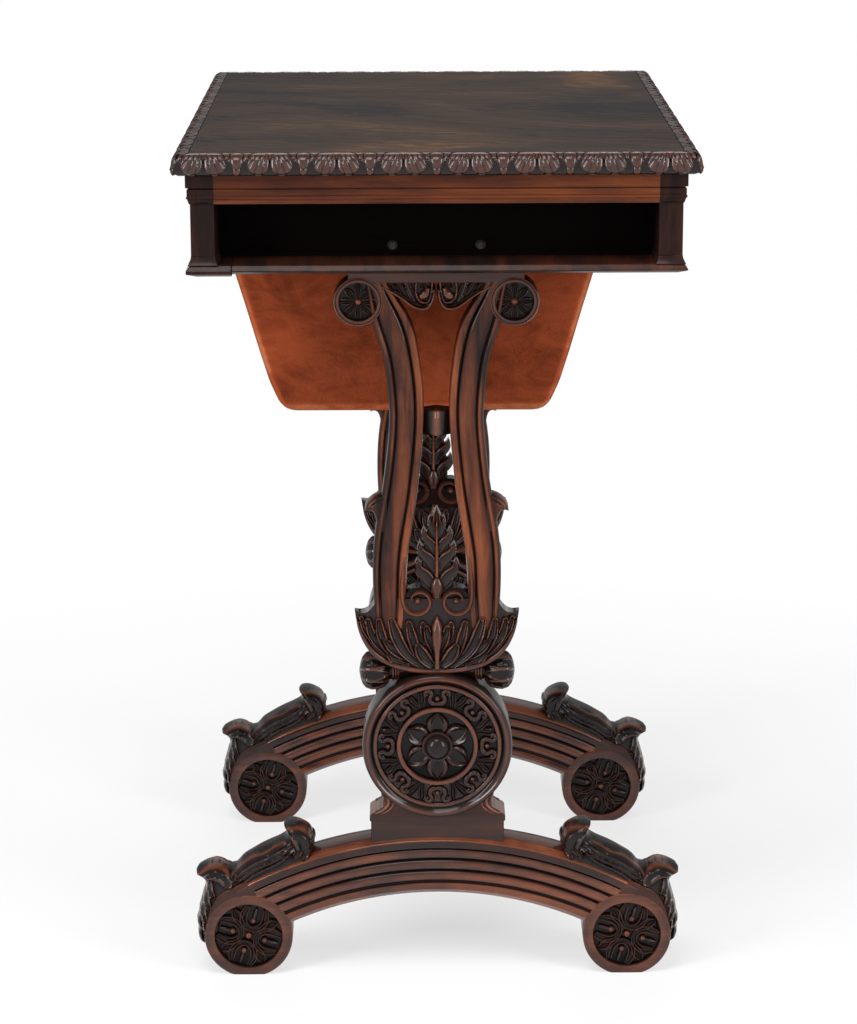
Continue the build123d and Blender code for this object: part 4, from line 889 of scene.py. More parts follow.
def carved_rosewood(name="rosewood carved", axis="Z", lift=0.0, streak=0.5, sheen=1.0):
    """Polished rosewood: painted black shade in the hollows, red-orange where hands have worn it.
    """
    tones = bpy.context.scene.work_table_timber
    shader = Shader(name)
    streaks, pores, slow = timber_figure(shader, axis)
    patches = shader.noise(shader.place(), 32.0, 2.0, 0.5, 0.5)
    wear = shader.attribute("wear")
    dust = shader.attribute("dust")
    # Where the worn field is low, in hollows and grooves, the colour falls to the near-black first
    # stop as painted shade; high values on ridges are real wear.
    rub = wear * (0.26 + 0.50 * slow + 0.50 * patches)
    rub = (rub + (streaks - 0.5) * streak * (wear * 0.9 + 0.25) + lift).clamped()
    colour = shader.ramp(
        rub,
        (
            (0.0, rgb(tones.hollow)),
            (0.24, rgb(tones.dark)),
            (0.50, rgb(tones.middle)),
            (0.78, rgb(tones.worn)),
            (1.0, rgb(tones.worn, 1.6)),
        ),
    )
    colour = shader.mix((0.62 - pores).clamped() * 0.6, colour, rgb(tones.hollow))
    ripple = shader.bump(streaks * 0.5 + pores * 0.5, 0.25, 0.0006)
    shader.surface(
        Base_Color=colour,
        Roughness=tones.roughness + 0.10 * slow + 0.10 * pores + 0.25 * dust,
        Specular_IOR_Level=0.03,
        Coat_Weight=((wear * 0.80 + 0.42) * sheen * (1.0 - 0.85 * dust)).clamped(),
        Coat_Roughness=0.12,
        Normal=ripple,
    )
    return shader.material


def plain_rosewood(name, axis="X", shade=0.5, sheen=1.0):
    """Rosewood board or moulding, dark with red streaks along the grain."""
    tones = bpy.context.scene.work_table_timber
    shader = Shader(name)
    streaks, pores, slow = timber_figure(shader, axis)
    figure = (streaks * 1.1 + slow * 0.5 - 0.85 + shade).clamped()
    colour = shader.ramp(
        figure,
        (
            (0.0, rgb(tones.hollow)),
            (0.35, rgb(tones.dark)),
            (0.70, rgb(tones.middle)),
            (1.0, rgb(tones.worn)),
        ),
    )
    colour = shader.mix((0.60 - pores).clamped() * 0.6, colour, rgb(tones.hollow))
    ripple = shader.bump(streaks * 0.4 + pores * 0.6, 0.2, 0.0005)
    shader.surface(
        Base_Color=colour,
        Roughness=tones.roughness + 0.14 * pores,
        Specular_IOR_Level=0.08 * sheen,
        Coat_Weight=0.06 * sheen,
        Coat_Roughness=0.2,
        Normal=ripple,
    )
    return shader.material


def figured_veneer(name="figured top"):
    """Swirling figured veneer of the top, with dark clouds and fine pores."""
    tones = bpy.context.scene.work_table_timber
    shader = Shader(name)
    at = shader.place(scale=(2.0, 3.4, 1.0), turn=(0, 0, 0.35))
    swirl = shader.noise(at, 1.5, 3.0, 0.5, 1.6)
    lines = shader.node(
        "ShaderNodeTexWave",
        {"wave_type": "BANDS", "bands_direction": "Y", "wave_profile": "SIN"},
        {"Vector": at, "Scale": 7.0, "Distortion": 14.0, "Detail": 4.0, "Detail Scale": 1.1},
        "Fac",
    )
    fine = shader.noise(shader.place(scale=(18, 150, 18), turn=(0, 0, 0.2)), 2.0, 4.0, 0.65, 1.2)
    clouds = shader.noise(shader.place(shift=(0.35, 0.1, 0)), 5.5, 2.0, 0.5, 1.0)
    figure = (swirl * 1.3 + lines * 0.16 + fine * 0.55 - 0.58).clamped()
    colour = shader.ramp(
        figure,
        (
            (0.18, rgb(tones.top_dark)),
            (0.40, rgb(tones.top)),
            (0.56, rgb(tones.top, 1.3)),
            (0.76, rgb(tones.top_light)),
        ),
    )
    colour = shader.mix(((clouds - 0.54) * 5.0).clamped() * 0.75, colour, rgb(tones.top_dark, 1.1))
    shader.surface(
        Base_Color=colour,
        Roughness=0.55,
        Specular_IOR_Level=0.0,
        Coat_Weight=0.035,
        Coat_Roughness=0.16,
        Normal=shader.bump(fine, 0.08, 0.0004),
    )
    return shader.material


def inner_timber(name="inner timber"):
    """Plain pale wood of the tray and the work box."""
    tones = bpy.context.scene.work_table_timber
    shader = Shader(name)
    streaks, pores, slow = timber_figure(shader, "Y", 0.7)
    colour = shader.ramp(
        (streaks * 0.9 + slow * 0.4 - 0.2).clamped(),
        ((0.1, rgb(tones.inner, 0.45)), (0.6, rgb(tones.inner)), (1.0, rgb(tones.inner, 1.35))),
    )
    shader.surface(
        Base_Color=colour,
        Roughness=0.5 + 0.2 * pores,
        Normal=shader.bump(pores, 0.2, 0.0004),
    )
    return shader.material


def velvet(name="velvet pile"):
    """Faded cotton velvet: brushed patches, a soft pile and worn, paler edges."""
    cloth = bpy.context.scene.work_table_cloth
    shader = Shader(name)
    at = shader.place()
    brushed = shader.noise(shader.place(scale=(1.0, 1.0, 0.7)), 10.0, 4.0, 0.6, 1.2)
    rubbed = shader.noise(shader.place(scale=(5, 5, 9), turn=(0.3, 0.5, 0.2)), 4.0, 5.0, 0.65, 2.0)
    pile = shader.noise(at, 700.0, 2.0, 0.6)
    wear = shader.attribute("wear")
    tone = (brushed * 1.3 + pile * 0.3 + (rubbed - 0.5) * 0.9 - 0.42 + wear * 0.5).clamped()
    colour = shader.ramp(
        tone,
        (
            (0.05, rgb(cloth.velvet, 0.50)),
            (0.40, rgb(cloth.velvet)),
            (0.72, rgb(cloth.velvet, 1.35)),
            (1.0, rgb(cloth.velvet_worn)),
        ),
    )
    shader.surface(
        Base_Color=colour,
        Roughness=0.95,
        Specular_IOR_Level=0.02,
        Sheen_Weight=0.03,
        Sheen_Roughness=0.5,
        Sheen_Tint=rgb(cloth.velvet_worn),
        Normal=shader.bump(pile * 0.6 + brushed * 0.8 + rubbed * 0.6, 0.45, 0.002),
    )
    return shader.material


def silk(name="silk weave"):
    """Pleated silk of the inside of the work box."""
    cloth = bpy.context.scene.work_table_cloth
    shader = Shader(name)
    weave = shader.noise(shader.place(scale=(60, 60, 900)), 3.0, 2.0)
    slow = shader.noise(shader.place(), 14.0, 2.0)
    colour = shader.ramp(
        (weave * 0.4 + slow * 0.6).clamped(),
        ((0.2, rgb(cloth.silk, 0.7)), (0.6, rgb(cloth.silk)), (1.0, rgb(cloth.silk, 1.2))),
    )
    shader.surface(
        Base_Color=colour,
        Roughness=0.42,
        Sheen_Weight=0.2,
        Normal=shader.bump(weave, 0.15, 0.0003),
    )
    return shader.material


def metal(name, colour, rough):
    """Aged metal with a dulled, slightly stained polish."""
    shader = Shader(name)
    stain = shader.noise(shader.place(), 160.0, 4.0, 0.6)
    shader.surface(
        Base_Color=shader.ramp(stain, ((0.3, rgb(colour, 0.45)), (0.65, rgb(colour)))),
        Metallic=1.0,
        Roughness=rough + 0.25 * stain,
        Normal=shader.bump(stain, 0.08, 0.0002),
    )
    return shader.material


MATERIALS = {
    "rosewood carved": lambda n: carved_rosewood(n, "Z"),
    "rosewood arms": lambda n: carved_rosewood(n, "Z", 0.07, 1.8, 0.45),
    "rosewood carved long": lambda n: carved_rosewood(n, "X", 0.02, 0.9),
    "rosewood leaves": lambda n: carved_rosewood(n, "X", -0.08),
    # The end edges take a lighter base colour than the long edges of the same moulding, painting
    # the light they catch; their stronger coat is real gloss.
    "rosewood edge": lambda n: carved_rosewood(n, "X", 0.13, 0.5, 1.6),
    "rosewood long edge": lambda n: carved_rosewood(n, "Y", 0.0, 0.5, 0.3),
    "rosewood turned": lambda n: carved_rosewood(n, "Y"),
    "rosewood end rail": lambda n: plain_rosewood(n, "X", 0.95),
    "rosewood side rail": lambda n: plain_rosewood(n, "Y", 0.78),
    "rosewood post": lambda n: plain_rosewood(n, "Z", 0.40),
    # The end panels are given a near-black tone and almost no gloss: painted shade for the recess
    # behind the posts.
    "rosewood end panel": lambda n: plain_rosewood(n, "X", -0.15, 0.1),
    "rosewood side panel": lambda n: plain_rosewood(n, "Y", 0.40),
    "rosewood ledge": lambda n: plain_rosewood(n, "Y", 0.55),
    "figured top": figured_veneer,
    "inner timber": inner_timber,
    "velvet pile": velvet,
    "silk weave": silk,
    "aged brass": lambda n: metal(n, (0.62, 0.42, 0.16), 0.28),
    "dulled steel": lambda n: metal(n, (0.07, 0.066, 0.062), 0.55),
}


def material(name):
    """The finish of that name, made when it is first asked for."""
    return bpy.data.materials.get(name) or MATERIALS[name](name)


def dress(names, finish, bevel=0.0):
    """Give nodes of the frame a finish and softened edges."""
    for name in names:
        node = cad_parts[name]
        node.data.materials.clear()
        node.data.materials.append(material(finish))
        if bevel:
            weld = node.modifiers.new("weld", "WELD")
            weld.merge_threshold = WELD_REACH
            soft = node.modifiers.new("soft edges", "BEVEL")
            soft.width = bevel * MM
            soft.segments = 2
            soft.limit_method = "ANGLE"
            soft.angle_limit = SHARP_ANGLE
            soft.harden_normals = False


# =====================================================================================
# Settings
# =====================================================================================
def tone(name, description, default):
    return FloatVectorProperty(
        name=name, description=description, subtype="COLOR", size=3, min=0, max=1, default=default
    )


class WorkTableTimber(bpy.types.PropertyGroup):
    """Colours and polish of the timber."""

    # The darkest tone is painted shade in the carving's hollows and grooves, and also the dark of
    # pores and grain.
    hollow: tone("Hollow", "Rosewood in the hollows of the carving", (0.0032, 0.0022, 0.0019))
    dark: tone("Dark", "Rosewood where it is little worn", (0.0125, 0.0060, 0.0050))
    middle: tone("Middle", "Rosewood on its broad faces", (0.052, 0.0150, 0.0085))
    worn: tone("Worn", "Rosewood on rubbed edges", (0.145, 0.039, 0.0145))
    top: tone("Top", "Figured veneer of the top", (0.031, 0.0180, 0.0120))
    top_dark: tone("Top dark", "Dark clouds in the top", (0.0075, 0.0062, 0.0085))
    top_light: tone("Top light", "Light streaks in the top", (0.105, 0.050, 0.020))
    inner: tone("Inner timber", "Wood of the tray and the work box", (0.28, 0.155, 0.075))
    roughness: FloatProperty(
        name="Roughness", description="Polish of the rosewood", default=0.28, min=0.05, max=1
    )


class WorkTableCloth(bpy.types.PropertyGroup):
    """Colours of the cloth."""

    velvet: tone("Velvet", "Faded velvet of the work box", (0.255, 0.052, 0.019))
    velvet_worn: tone("Worn velvet", "Velvet on rubbed edges", (0.46, 0.145, 0.062))
    silk: tone("Silk", "Silk lining of the work box", (0.42, 0.30, 0.16))


class WorkTableCarving(bpy.types.PropertyGroup):
    """Counts and depths of the carving."""

    bud_ribs: IntProperty(name="Bud ribs", description="Lotus petals round a bud", default=9)
    roundel_motifs: IntProperty(
        name="Roundel motifs", description="Scrolled motifs round a roundel", default=8
    )
    leaf_height: FloatProperty(
        name="Leaf height", description="Height of the leaves on the bowls", default=0.0042,
        unit="LENGTH",
    )


class WorkTableStage(bpy.types.PropertyGroup):
    """Camera and lamps."""

    lens: FloatProperty(name="Lens", description="Focal length", default=107.8, unit="CAMERA")
    distance: FloatProperty(
        name="Distance", description="Camera's distance in front of the middle", default=2.811,
        unit="LENGTH",
    )
    height: FloatProperty(
        name="Height", description="Camera's height", default=1.1192, unit="LENGTH"
    )
    pitch: FloatProperty(
        name="Pitch", description="Camera's tilt down", default=math.radians(14.783),
        subtype="ANGLE", unit="ROTATION",
    )
    key: FloatProperty(name="Key", description="Power of the side lamps in watts", default=50.0)
    top: FloatProperty(name="Top", description="Power of the top lamp in watts", default=34.0)


# =====================================================================================
# Standards
# =====================================================================================
def on_each_standard(part, finish, node, through, stamped=()):
    """One piece per standard: solids right through it and reliefs stamped on both its faces."""
    for name, end in ENDS:
        solids = [on_face(s, end, 1) for s in through] + [on_both_faces(s, end) for s in stamped]
        piece(f"{name}_{part}", solids, finish, "stand", [f"{name}_{node}"])


def arm_solid():
    """One reeded arm, in (a, b, h)."""
    rows = curve([(t * arm_high, inner, outer) for t, inner, outer in ARM_STATIONS], 90)
    shares, depths, worn = np.array(ARM_REEDS).T
    share_up = rows[:, 0] / arm_high
    fade = np.clip((0.925 - share_up) / 0.04, 0, 1)
    rounding = np.where((shares < 0.06) | (shares > 0.94), 1.0, 0.0)
    sink = depths * (rounding + (1 - rounding) * fade[:, None])
    high = plank_half - 0.2 - sink
    across = rows[:, 1, None] + shares * (rows[:, 2] - rows[:, 1])[:, None]
    up = np.broadcast_to(shoulder_z + rows[:, 0, None], across.shape)
    front = np.dstack([across, up, high])
    back = front[:, ::-1] * (1, 1, -1)
    return loft(np.concatenate([front, back], axis=1), np.concatenate([worn, worn[::-1]]))


def spur_solid():
    """Curled spur on the outer side of an arm."""
    grid = even_grid((41, shoulder_z + 56), (65, shoulder_z + 101), 0.7)
    relief = Relief(*grid, plank_half - 1.2, mirror=False)
    edge = [(x, shoulder_z + z) for x, z in SPUR]
    inner = [(42, edge[-1][1]), (42, edge[0][1])]
    relief.fill([edge[0], *curve(edge[1:6], 24), *curve(edge[5:], 24), *inner])
    groove = [(x - 3.4, z - 2.8) for x, z in edge[1:5]]
    relief.stroke(groove, (0.6, 1.2, 0.9, 0.4), (-0.4, -1.0, -1.0, -0.3))
    relief.rub += 0.35 * np.clip((relief.a - 50) / 10, 0, 1)
    return relief.plank(4.0)


class WORKTABLE_OT_arms(bpy.types.Operator):
    """Carve the reeded arms of the two lyres."""

    bl_idname = "worktable.arms"
    bl_label = "Lyre arms"

    def execute(self, context):
        arm = mirrored([arm_solid(), spur_solid()])
        on_each_standard("lyre_arms", "rosewood arms", "arms", arm)
        return {"FINISHED"}


def sunk_disc(radius, sunk, face, depth, lip=1.0, lined=True):
    """Disc with a sunk field, the same on both faces, and a fine line round its rim if lined."""
    half = [
        (0, face - depth, 0.0),
        (sunk * 0.5, face - depth, 0.0),
        (sunk - 0.6, face - depth, 0.0),
        (sunk, face - 0.8, 0.5),
        (sunk + 0.6, face, 0.8),
        (radius - 2.2, face, 0.62),
    ]
    if lined:
        half += [(radius - 1.8, face - 0.5, 0.1), (radius - 1.4, face, 0.9)]
    half += [
        (radius - 0.6 * lip, face - 0.2 * lip, 0.75),
        (radius, face - lip, 0.6),
        (radius, 0.0, 0.3),
    ]
    return lathe(both_sides(np.array(half), 1), 72)


def capital_rosette():
    """Eight pointed, cupped petals round a bead."""
    spine, widths = [(0, 2.6), (0, 9), (0, 16.2)], (1.0, 2.2, 3.1, 3.4, 2.8, 0.3)
    petal = leaf(spine, widths, (2.2, 3.0, 3.5, 3.5, 2.8, 1.6), cup_rib, 14, 13, worn=0.6)
    petals = repeated(petal, 8, turn=math.tau / 8)
    return joined([petals, bead(0, 0, 3.3, 4.8, worn=1.0)])


def fan_solid():
    """Scalloped fan under the capital's bar: two rims, flutes, and a bean on each side."""
    z, drop = bar_bottom, FAN_DROP
    rim = [
        (FAN_HALF - 1, z - 0.5),
        (FAN_HALF * 0.74, z - drop * 0.27),
        (FAN_HALF * 0.46, z - drop * 0.70),
        (FAN_DIP + 6, z - drop * 0.95),
        (FAN_DIP - 2.5, z - drop * 0.95),
        (3.0, z - drop * 0.62),
        (2.2, z - drop * 0.06),
    ]
    relief = Relief(*even_grid((-FAN_HALF, z - drop - 1), (FAN_HALF, z + 2), 0.6), 9.0)
    edge = curve(rim, 40)
    relief.fill([(0, z + 2.5), *edge[::-1], (FAN_HALF + 1, z + 2.5)])
    flutes = (
        # path, half width
        (((33, -9.5), (41, -5), (49, -0.4)), 2.0),
        (((27, -12.5), (34, -7), (41, 0.4)), 2.6),
        (((21.5, -15.5), (28, -8.5), (33.5, 0.8)), 3.0),
        (((17.5, -18.0), (22, -9), (25.5, 1.0)), 3.2),
    )
    for path, half in flutes:
        widths = (half * 0.5, half, half, half * 0.7)
        relief.stroke(lifted(path, z), widths, (2.2, 3.0, 3.2, 2.6), cup)
    loop = [(3.4, 0), (4.4, -9), (8.5, -17.5), (14.5, -15.5), (17.6, -8), (17.0, 1)]
    relief.stroke(lifted(loop, z), [1.3], [3.6], rub=0.1)
    bean = lifted([(7.6, -6), (10.2, -10.8), (12.4, -12)], z)
    relief.stroke(bean, (2.6, 3.9, 3.2), (3.2, 4.2, 3.4), rub=0.45)
    sprig = lifted([(7.6, 1), (9.4, -1.5), (13.0, -4)], z)
    relief.stroke(sprig, (2.0, 2.2, 0.9), (3.0, 3.4, 2.6), cup)
    inner = [(x * 0.93, z + (h - z) * 0.86) for x, h in edge[3:34:3]]
    relief.stroke(inner, [1.0], [3.0], steps=90)
    relief.stroke(lifted(edge[:38:3], 0.6), [1.5], [4.2], rub=0.08, steps=110)
    return relief.plank(0.7)


class WORKTABLE_OT_capitals(bpy.types.Operator):
    """Carve the capitals with their rosettes and fans."""

    bl_idname = "worktable.capitals"
    bl_label = "Capitals"

    def execute(self, context):
        half, low = BAR_HALF, bar_bottom
        outline = [(-half, low), (half, low), (half, capital_top), (-half, capital_top)]
        bar = slab(outline, -plank_half, plank_half, 0.8, (0.55, 0.9))
        disc = sunk_disc(CAPITAL_DISC_R, CAPITAL_SUNK_R, plank_half + 0.5, CAPITAL_SINK + 0.5)
        solids = [bar, *mirrored([moved(disc, disc_x, disc_z)]), fan_solid()]
        rosette = raised(capital_rosette(), plank_half - CAPITAL_SINK)
        flowers = mirrored([moved(rosette, disc_x, disc_z)])
        on_each_standard("capital_block", "rosewood carved long", "capital", solids)
        stamped = [on_both_faces(s, end) for _, end in ENDS for s in flowers]
        piece("capital_flowers", stamped, "rosewood carved", "stand", ["capital_rosettes"])
        return {"FINISHED"}


def palmette_solid():
    """Serrated leaf between the arms, with a bud at its foot."""
    z = shoulder_z
    relief = Relief(*even_grid((-19, z - 2), (19, z + 84), 0.55), 5.0)
    body = [
        (-5, -1), (12.5, -1), (14.2, 14), (14.6, 27), (12.6, 33), (11.8, 44), (9.4, 52),
        (8.2, 60), (5.6, 67), (3.6, 76), (-5, 76),
    ]
    relief.fill(lifted(body, z))
    tip = lifted([(0, 60), (0, 70), (0, 82)], z)
    relief.stroke(tip, (4.2, 4.4, 3.4, 0.4), (3.8, 4.2, 3.6, 2.0), cup)
    lobes = (
        # points of the crest from the midrib to the tip, half width
        (((1.0, 57.0), (2.6, 64.0), (4.6, 68.5), (5.9, 74.0)), 2.9),
        (((1.2, 43.0), (3.6, 52.0), (8.6, 57.0), (11.4, 63.5)), 4.1),
        (((1.4, 29.0), (5.0, 38.5), (11.4, 44.0), (15.2, 50.0)), 4.9),
        (((2.6, 13.0), (8.0, 23.5), (13.6, 28.5), (17.0, 35.0)), 5.4),
    )
    for path, half in lobes:
        lower = [(x + half * 0.30, z + h - half * 0.62) for x, h in path[:-1]]
        widths = (half * 0.55, half * 0.95, half, half * 0.7, 0.35)
        relief.stroke(lower + lifted(path[-1:], z), widths, (2.6, 3.4, 4.0, 3.8, 2.6), feather)
    rib = lifted([(0, 12), (0, 40), (0, 70)], z)
    relief.stroke(rib, (2.0, 1.7, 0.9), (4.4, 4.7, 3.4), rub=0.30)
    bud = lifted([(0, -1), (0, 6), (0, 12), (0, 19)], z)
    relief.stroke(bud, (4.6, 4.4, 5.8, 5.9, 4.2, 0.4), (4.8, 5.0, 5.6, 5.4, 4.6, 3.2), rub=0.22)
    return relief.plank(1.3)


class WORKTABLE_OT_palmettes(bpy.types.Operator):
    """Carve the palmette that stands between each pair of arms."""

    bl_idname = "worktable.palmettes"
    bl_label = "Palmettes"

    def execute(self, context):
        on_each_standard("leaf_spray", "rosewood carved", "palmette", [palmette_solid()])
        return {"FINISHED"}


def calyx_edge(count):
    """Outline of the bowl from one shoulder round the bottom to the other."""
    half, low = calyx_half, calyx_bottom
    right = [
        (half, horn_z),
        (half * 0.95, low + CALYX_HIGH * 0.56),
        (half * 0.72, low + CALYX_HIGH * 0.21),
    ]
    side = curve([*right, (0, low), *((-a, b) for a, b in right[::-1])], count)
    horn = [(SHOULDER_HALF, shoulder_z), (SHOULDER_HALF + 3.5, horn_z + 3), (half, horn_z)]
    horn = curve(horn, 7)[:-1]
    return np.concatenate([horn, side, (horn * (-1, 1))[::-1]])


def calyx_ground(b):
    """Height of the bowl's ground over the middle plane, by height."""
    up = (b - calyx_bottom) / CALYX_HIGH
    ground = (11.5, 12.6, 14.6, 14.4, 12.6, 10.8, 10.2)
    return np.interp(up, (-0.1, 0.0, 0.25, 0.5, 0.62, 0.72, 1.0), ground)


def calyx_solid(height):
    """Lotus bowl: leaves over a ground that thins towards its horns."""
    a = np.linspace(-calyx_half, calyx_half, 252)
    reach = np.abs(a)
    side = calyx_edge(400)
    side = side[side[:, 0] >= 0][6:]
    order = np.argsort(side[:, 0])
    low_z = np.interp(reach, side[order, 0], side[order, 1])
    start = SHOULDER_HALF - 5.0
    lip = np.clip((reach - start) / (calyx_half - start), 0, 1)
    horn = horn_z + HORN_DROP * (1 - lip) ** 3.0 - 2.4 * np.sin(math.pi * lip)
    top_z = np.where(lip > 0, horn, shoulder_z)
    low_z = np.minimum(low_z, top_z - 0.3)
    share = np.linspace(0, 1, 122) ** 0.96
    b = low_z[:, None] + (top_z - low_z)[:, None] * share
    a = a[:, None] + 0 * b
    thin = 1 - 0.70 * np.clip((np.abs(a) - 54) / (calyx_half - 54), 0, 1) ** 1.8
    relief = Relief(a, b, calyx_ground(b) * thin)
    low = calyx_bottom
    spoon = (0.45, 0.72, 0.98, 1.0, 0.62)
    thick = [height * s for s in (0.5, 0.85, 1.05, 1.15, 0.95)]
    lobes = (
        # path, half width
        (((46.0, 21.0), (57.0, 33.5), (64.5, 44.0), (67.0, 51.0)), 3.6),
        (((41.0, 15.5), (51.0, 28), (58.5, 40), (61.0, 49.5)), 4.2),
        (((34.0, 12.0), (43.5, 25), (49.5, 38), (51.5, 49.5)), 4.9),
        (((26.0, 9.0), (33.0, 11.0), (42.5, 19.5)), 4.4),
        (((26.0, 14.5), (33.5, 20.0), (45.0, 31.5)), 4.8),
        (((14.0, 8.0), (27.0, 20), (35.5, 35), (40.5, 50.0)), 6.0),
        (((11.0, 32), (12.0, 40), (12.6, 47)), 3.3),
        (((8.0, 7.0), (16.5, 19), (21.5, 33), (25.0, 47.0)), 4.9),
        (((1.5, 19), (5.6, 30), (9.2, 43)), 4.6),
        (((1.5, 6.5), (8.5, 13), (16.5, 26.0)), 6.4),
    )
    for path, half in lobes:
        relief.stroke(lifted(path, low), [half * s for s in spoon], thick, cup)
    rib = lifted([(0, 3), (0, 26), (0, 52)], low)
    rises = [height * s for s in (0.9, 1.25, 1.4, 1.5, 1.4, 1.0)]
    relief.stroke(rib, (3.2, 2.4, 3.2, 5.0, 5.2, 1.2), rises, rub=0.30)
    lower = sorted((x, z + 2.6) for x, z in side[::12])
    lower = [(0.0, low + 2.6)] + [p for p in lower if 2 < p[0] < calyx_half - 1.5]
    relief.stroke(lower, [2.7] * 6 + [1.6], [height * 0.66], rub=0.30, steps=150)
    return relief.plate()


def volute():
    """Scroll that rises from the inner edge of an arm and curls in to a ball."""
    centre = np.array([VOLUTE_X, shoulder_z - VOLUTE_DROP])
    spiral = (
        # degrees, radius
        (0, 13.0), (-45, 12.5), (-90, 11.9), (-135, 11.4), (-180, 10.8), (-225, 9.4),
        (-270, 7.9), (-315, 6.8), (-345, 5.8),
    )
    points = lifted([(27.9, 44), (29.9, 25), (30.7, 9)], shoulder_z)
    points += [tuple(centre + radius * ray(math.radians(degrees))) for degrees, radius in spiral]
    widths = (3.0, 3.4, 3.6, 3.7, 3.6, 3.4, 3.1, 2.4, 1.4)
    heights = (12.4, 13.4, 14.8, 15.2, 15.2, 15.0, 14.6, 14.0, 13.4)
    band = leaf(points, widths, heights, full, 72, 11, sink=0.5, worn=0.80)
    ball = bead(*centre, 5.0, 14.4, low=-0.5, worn=0.65)
    around = np.linspace(0, math.tau, 32, endpoint=False)
    disc = centre + 12.0 * np.column_stack([np.cos(around), np.sin(around)])
    return [band, ball, slab(disc, -0.5, 8.0, 0.3, (0.0, 0.0))]


class WORKTABLE_OT_calyxes(bpy.types.Operator):
    """Carve the lotus bowls, their leaves and their volutes."""

    bl_idname = "worktable.calyxes"
    bl_label = "Lotus bowls"

    def execute(self, context):
        body = calyx_solid(context.scene.work_table_carving.leaf_height / MM)
        on_each_standard("lotus_bowl", "rosewood carved", "calyx", [body], mirrored(volute()))
        return {"FINISHED"}


def lotus_bud(ribs):
    """Bud with looped petals, from its collar (t 0) to its tip (t 1), along local h."""
    rows, cols = 30, 16 * ribs
    t = np.linspace(0, 1, rows)
    start = spindle_half * COLLAR_SHARE
    long = spindle_half - start
    outer = spindle_high[2] - spindle_z
    places = (0, 0.06, 0.2, 0.4, 0.6, 0.78, 0.9, 0.97, 1)
    shape = np.interp(t, places, (0.42, 0.62, 0.85, 0.97, 1.0, 0.9, 0.66, 0.36, 0.06))
    angle = np.linspace(0, math.tau, cols, endpoint=False)
    phase = (angle * ribs / math.tau) % 1 - 0.5
    opening = 0.46 * np.clip(t / 0.5, 0, 1) ** 0.6
    rim = np.exp(-(((np.abs(phase)[None] - opening[:, None]) / 0.10) ** 2))
    inside = np.abs(phase)[None] < opening[:, None]
    fade = np.clip(t / 0.08, 0, 1) * np.clip((1 - t) / 0.1, 0, 1)
    carve = (0.9 * rim - 1.0 * inside * (1 - rim)) * fade[:, None]
    radius = outer * shape[:, None] * 0.95 + carve * 0.9
    along = np.broadcast_to(start + long * t[:, None], radius.shape)
    rings = np.dstack([radius * np.cos(angle), radius * np.sin(angle), along])
    return loft(rings, 0.12 + 0.7 * rim)


def spindle_core():
    """Cone stem and ringed collar of a spindle, along local h from its middle."""
    start = spindle_half * COLLAR_SHARE
    rows = [
        (0, -1, 0),
        (3.4, -1, 0.3),
        (3.6, start * 0.25, 0.35),
        (5.6, start * 0.62, 0.4),
        (7.4, start * 0.79, 0.5),
        (7.6, start * 0.80, 0.1),
        (8.9, start * 0.815, 0.9),
        (8.9, start * 0.84, 0.9),
        (7.9, start * 0.855, 0.05),
        (9.3, start * 0.87, 0.9),
        (9.3, start * 0.895, 0.9),
        (8.1, start * 0.91, 0.05),
        (9.6, start * 0.925, 0.9),
        (9.6, start * 0.955, 0.9),
        (8.2, start * 0.97, 0.05),
        (8.2, start + 2, 0.05),
        (0, start + 2, 0),
    ]
    return lathe(rows[::-1], 40)


class WORKTABLE_OT_spindles(bpy.types.Operator):
    """Turn the spindles and carve their lotus buds."""

    bl_idname = "worktable.spindles"
    bl_label = "Bud spindles"

    def execute(self, context):
        parts = [lotus_bud(context.scene.work_table_carving.bud_ribs), spindle_core()]
        solids = []
        for side in (-1, 1):

            def place(p, side=side):
                return np.column_stack([side * p[:, 2], spindle_z + p[:, 1], p[:, 0]])

            solids += [part.mapped(place) for part in parts]
        on_each_standard("lotus_buds", "rosewood carved long", "bud_spindle", solids)
        return {"FINISHED"}


def roundel_motif():
    """Bead in a cup whose arms curl out, with a pair of stalks beside it, about the centre."""
    arm = [
        (0.0, 39.8), (5.0, 40.8), (6.8, 45.0), (5.0, 49.0), (6.8, 51.6), (10.8, 50.2), (10.4, 46.8),
    ]
    widths = (2.4, 3.0, 2.9, 2.6, 2.7, 2.7, 2.2, 1.6)
    curl = leaf(arm, widths, (3.8, 4.8, 4.8, 4.2), full, 36, 9, worn=0.42)
    eye = bead(9.0, 48.6, 2.0, 4.6, worn=0.4)
    stem, widths = [(1.5, 38.4), (2.6, 43.0), (4.8, 47.6), (5.6, 52.0)], (2.0, 2.8, 3.4, 3.6, 2.4)
    stalk = leaf(stem, widths, (2.8, 4.2, 5.0, 5.0, 3.6), cup, 24, 13, worn=0.42)
    stalks = [moved(s, 0, 0, math.pi / 8) for s in mirrored([stalk])]
    return joined([bead(0, 44.4, 2.8, 4.4, worn=0.6), *mirrored([curl, eye]), *stalks])


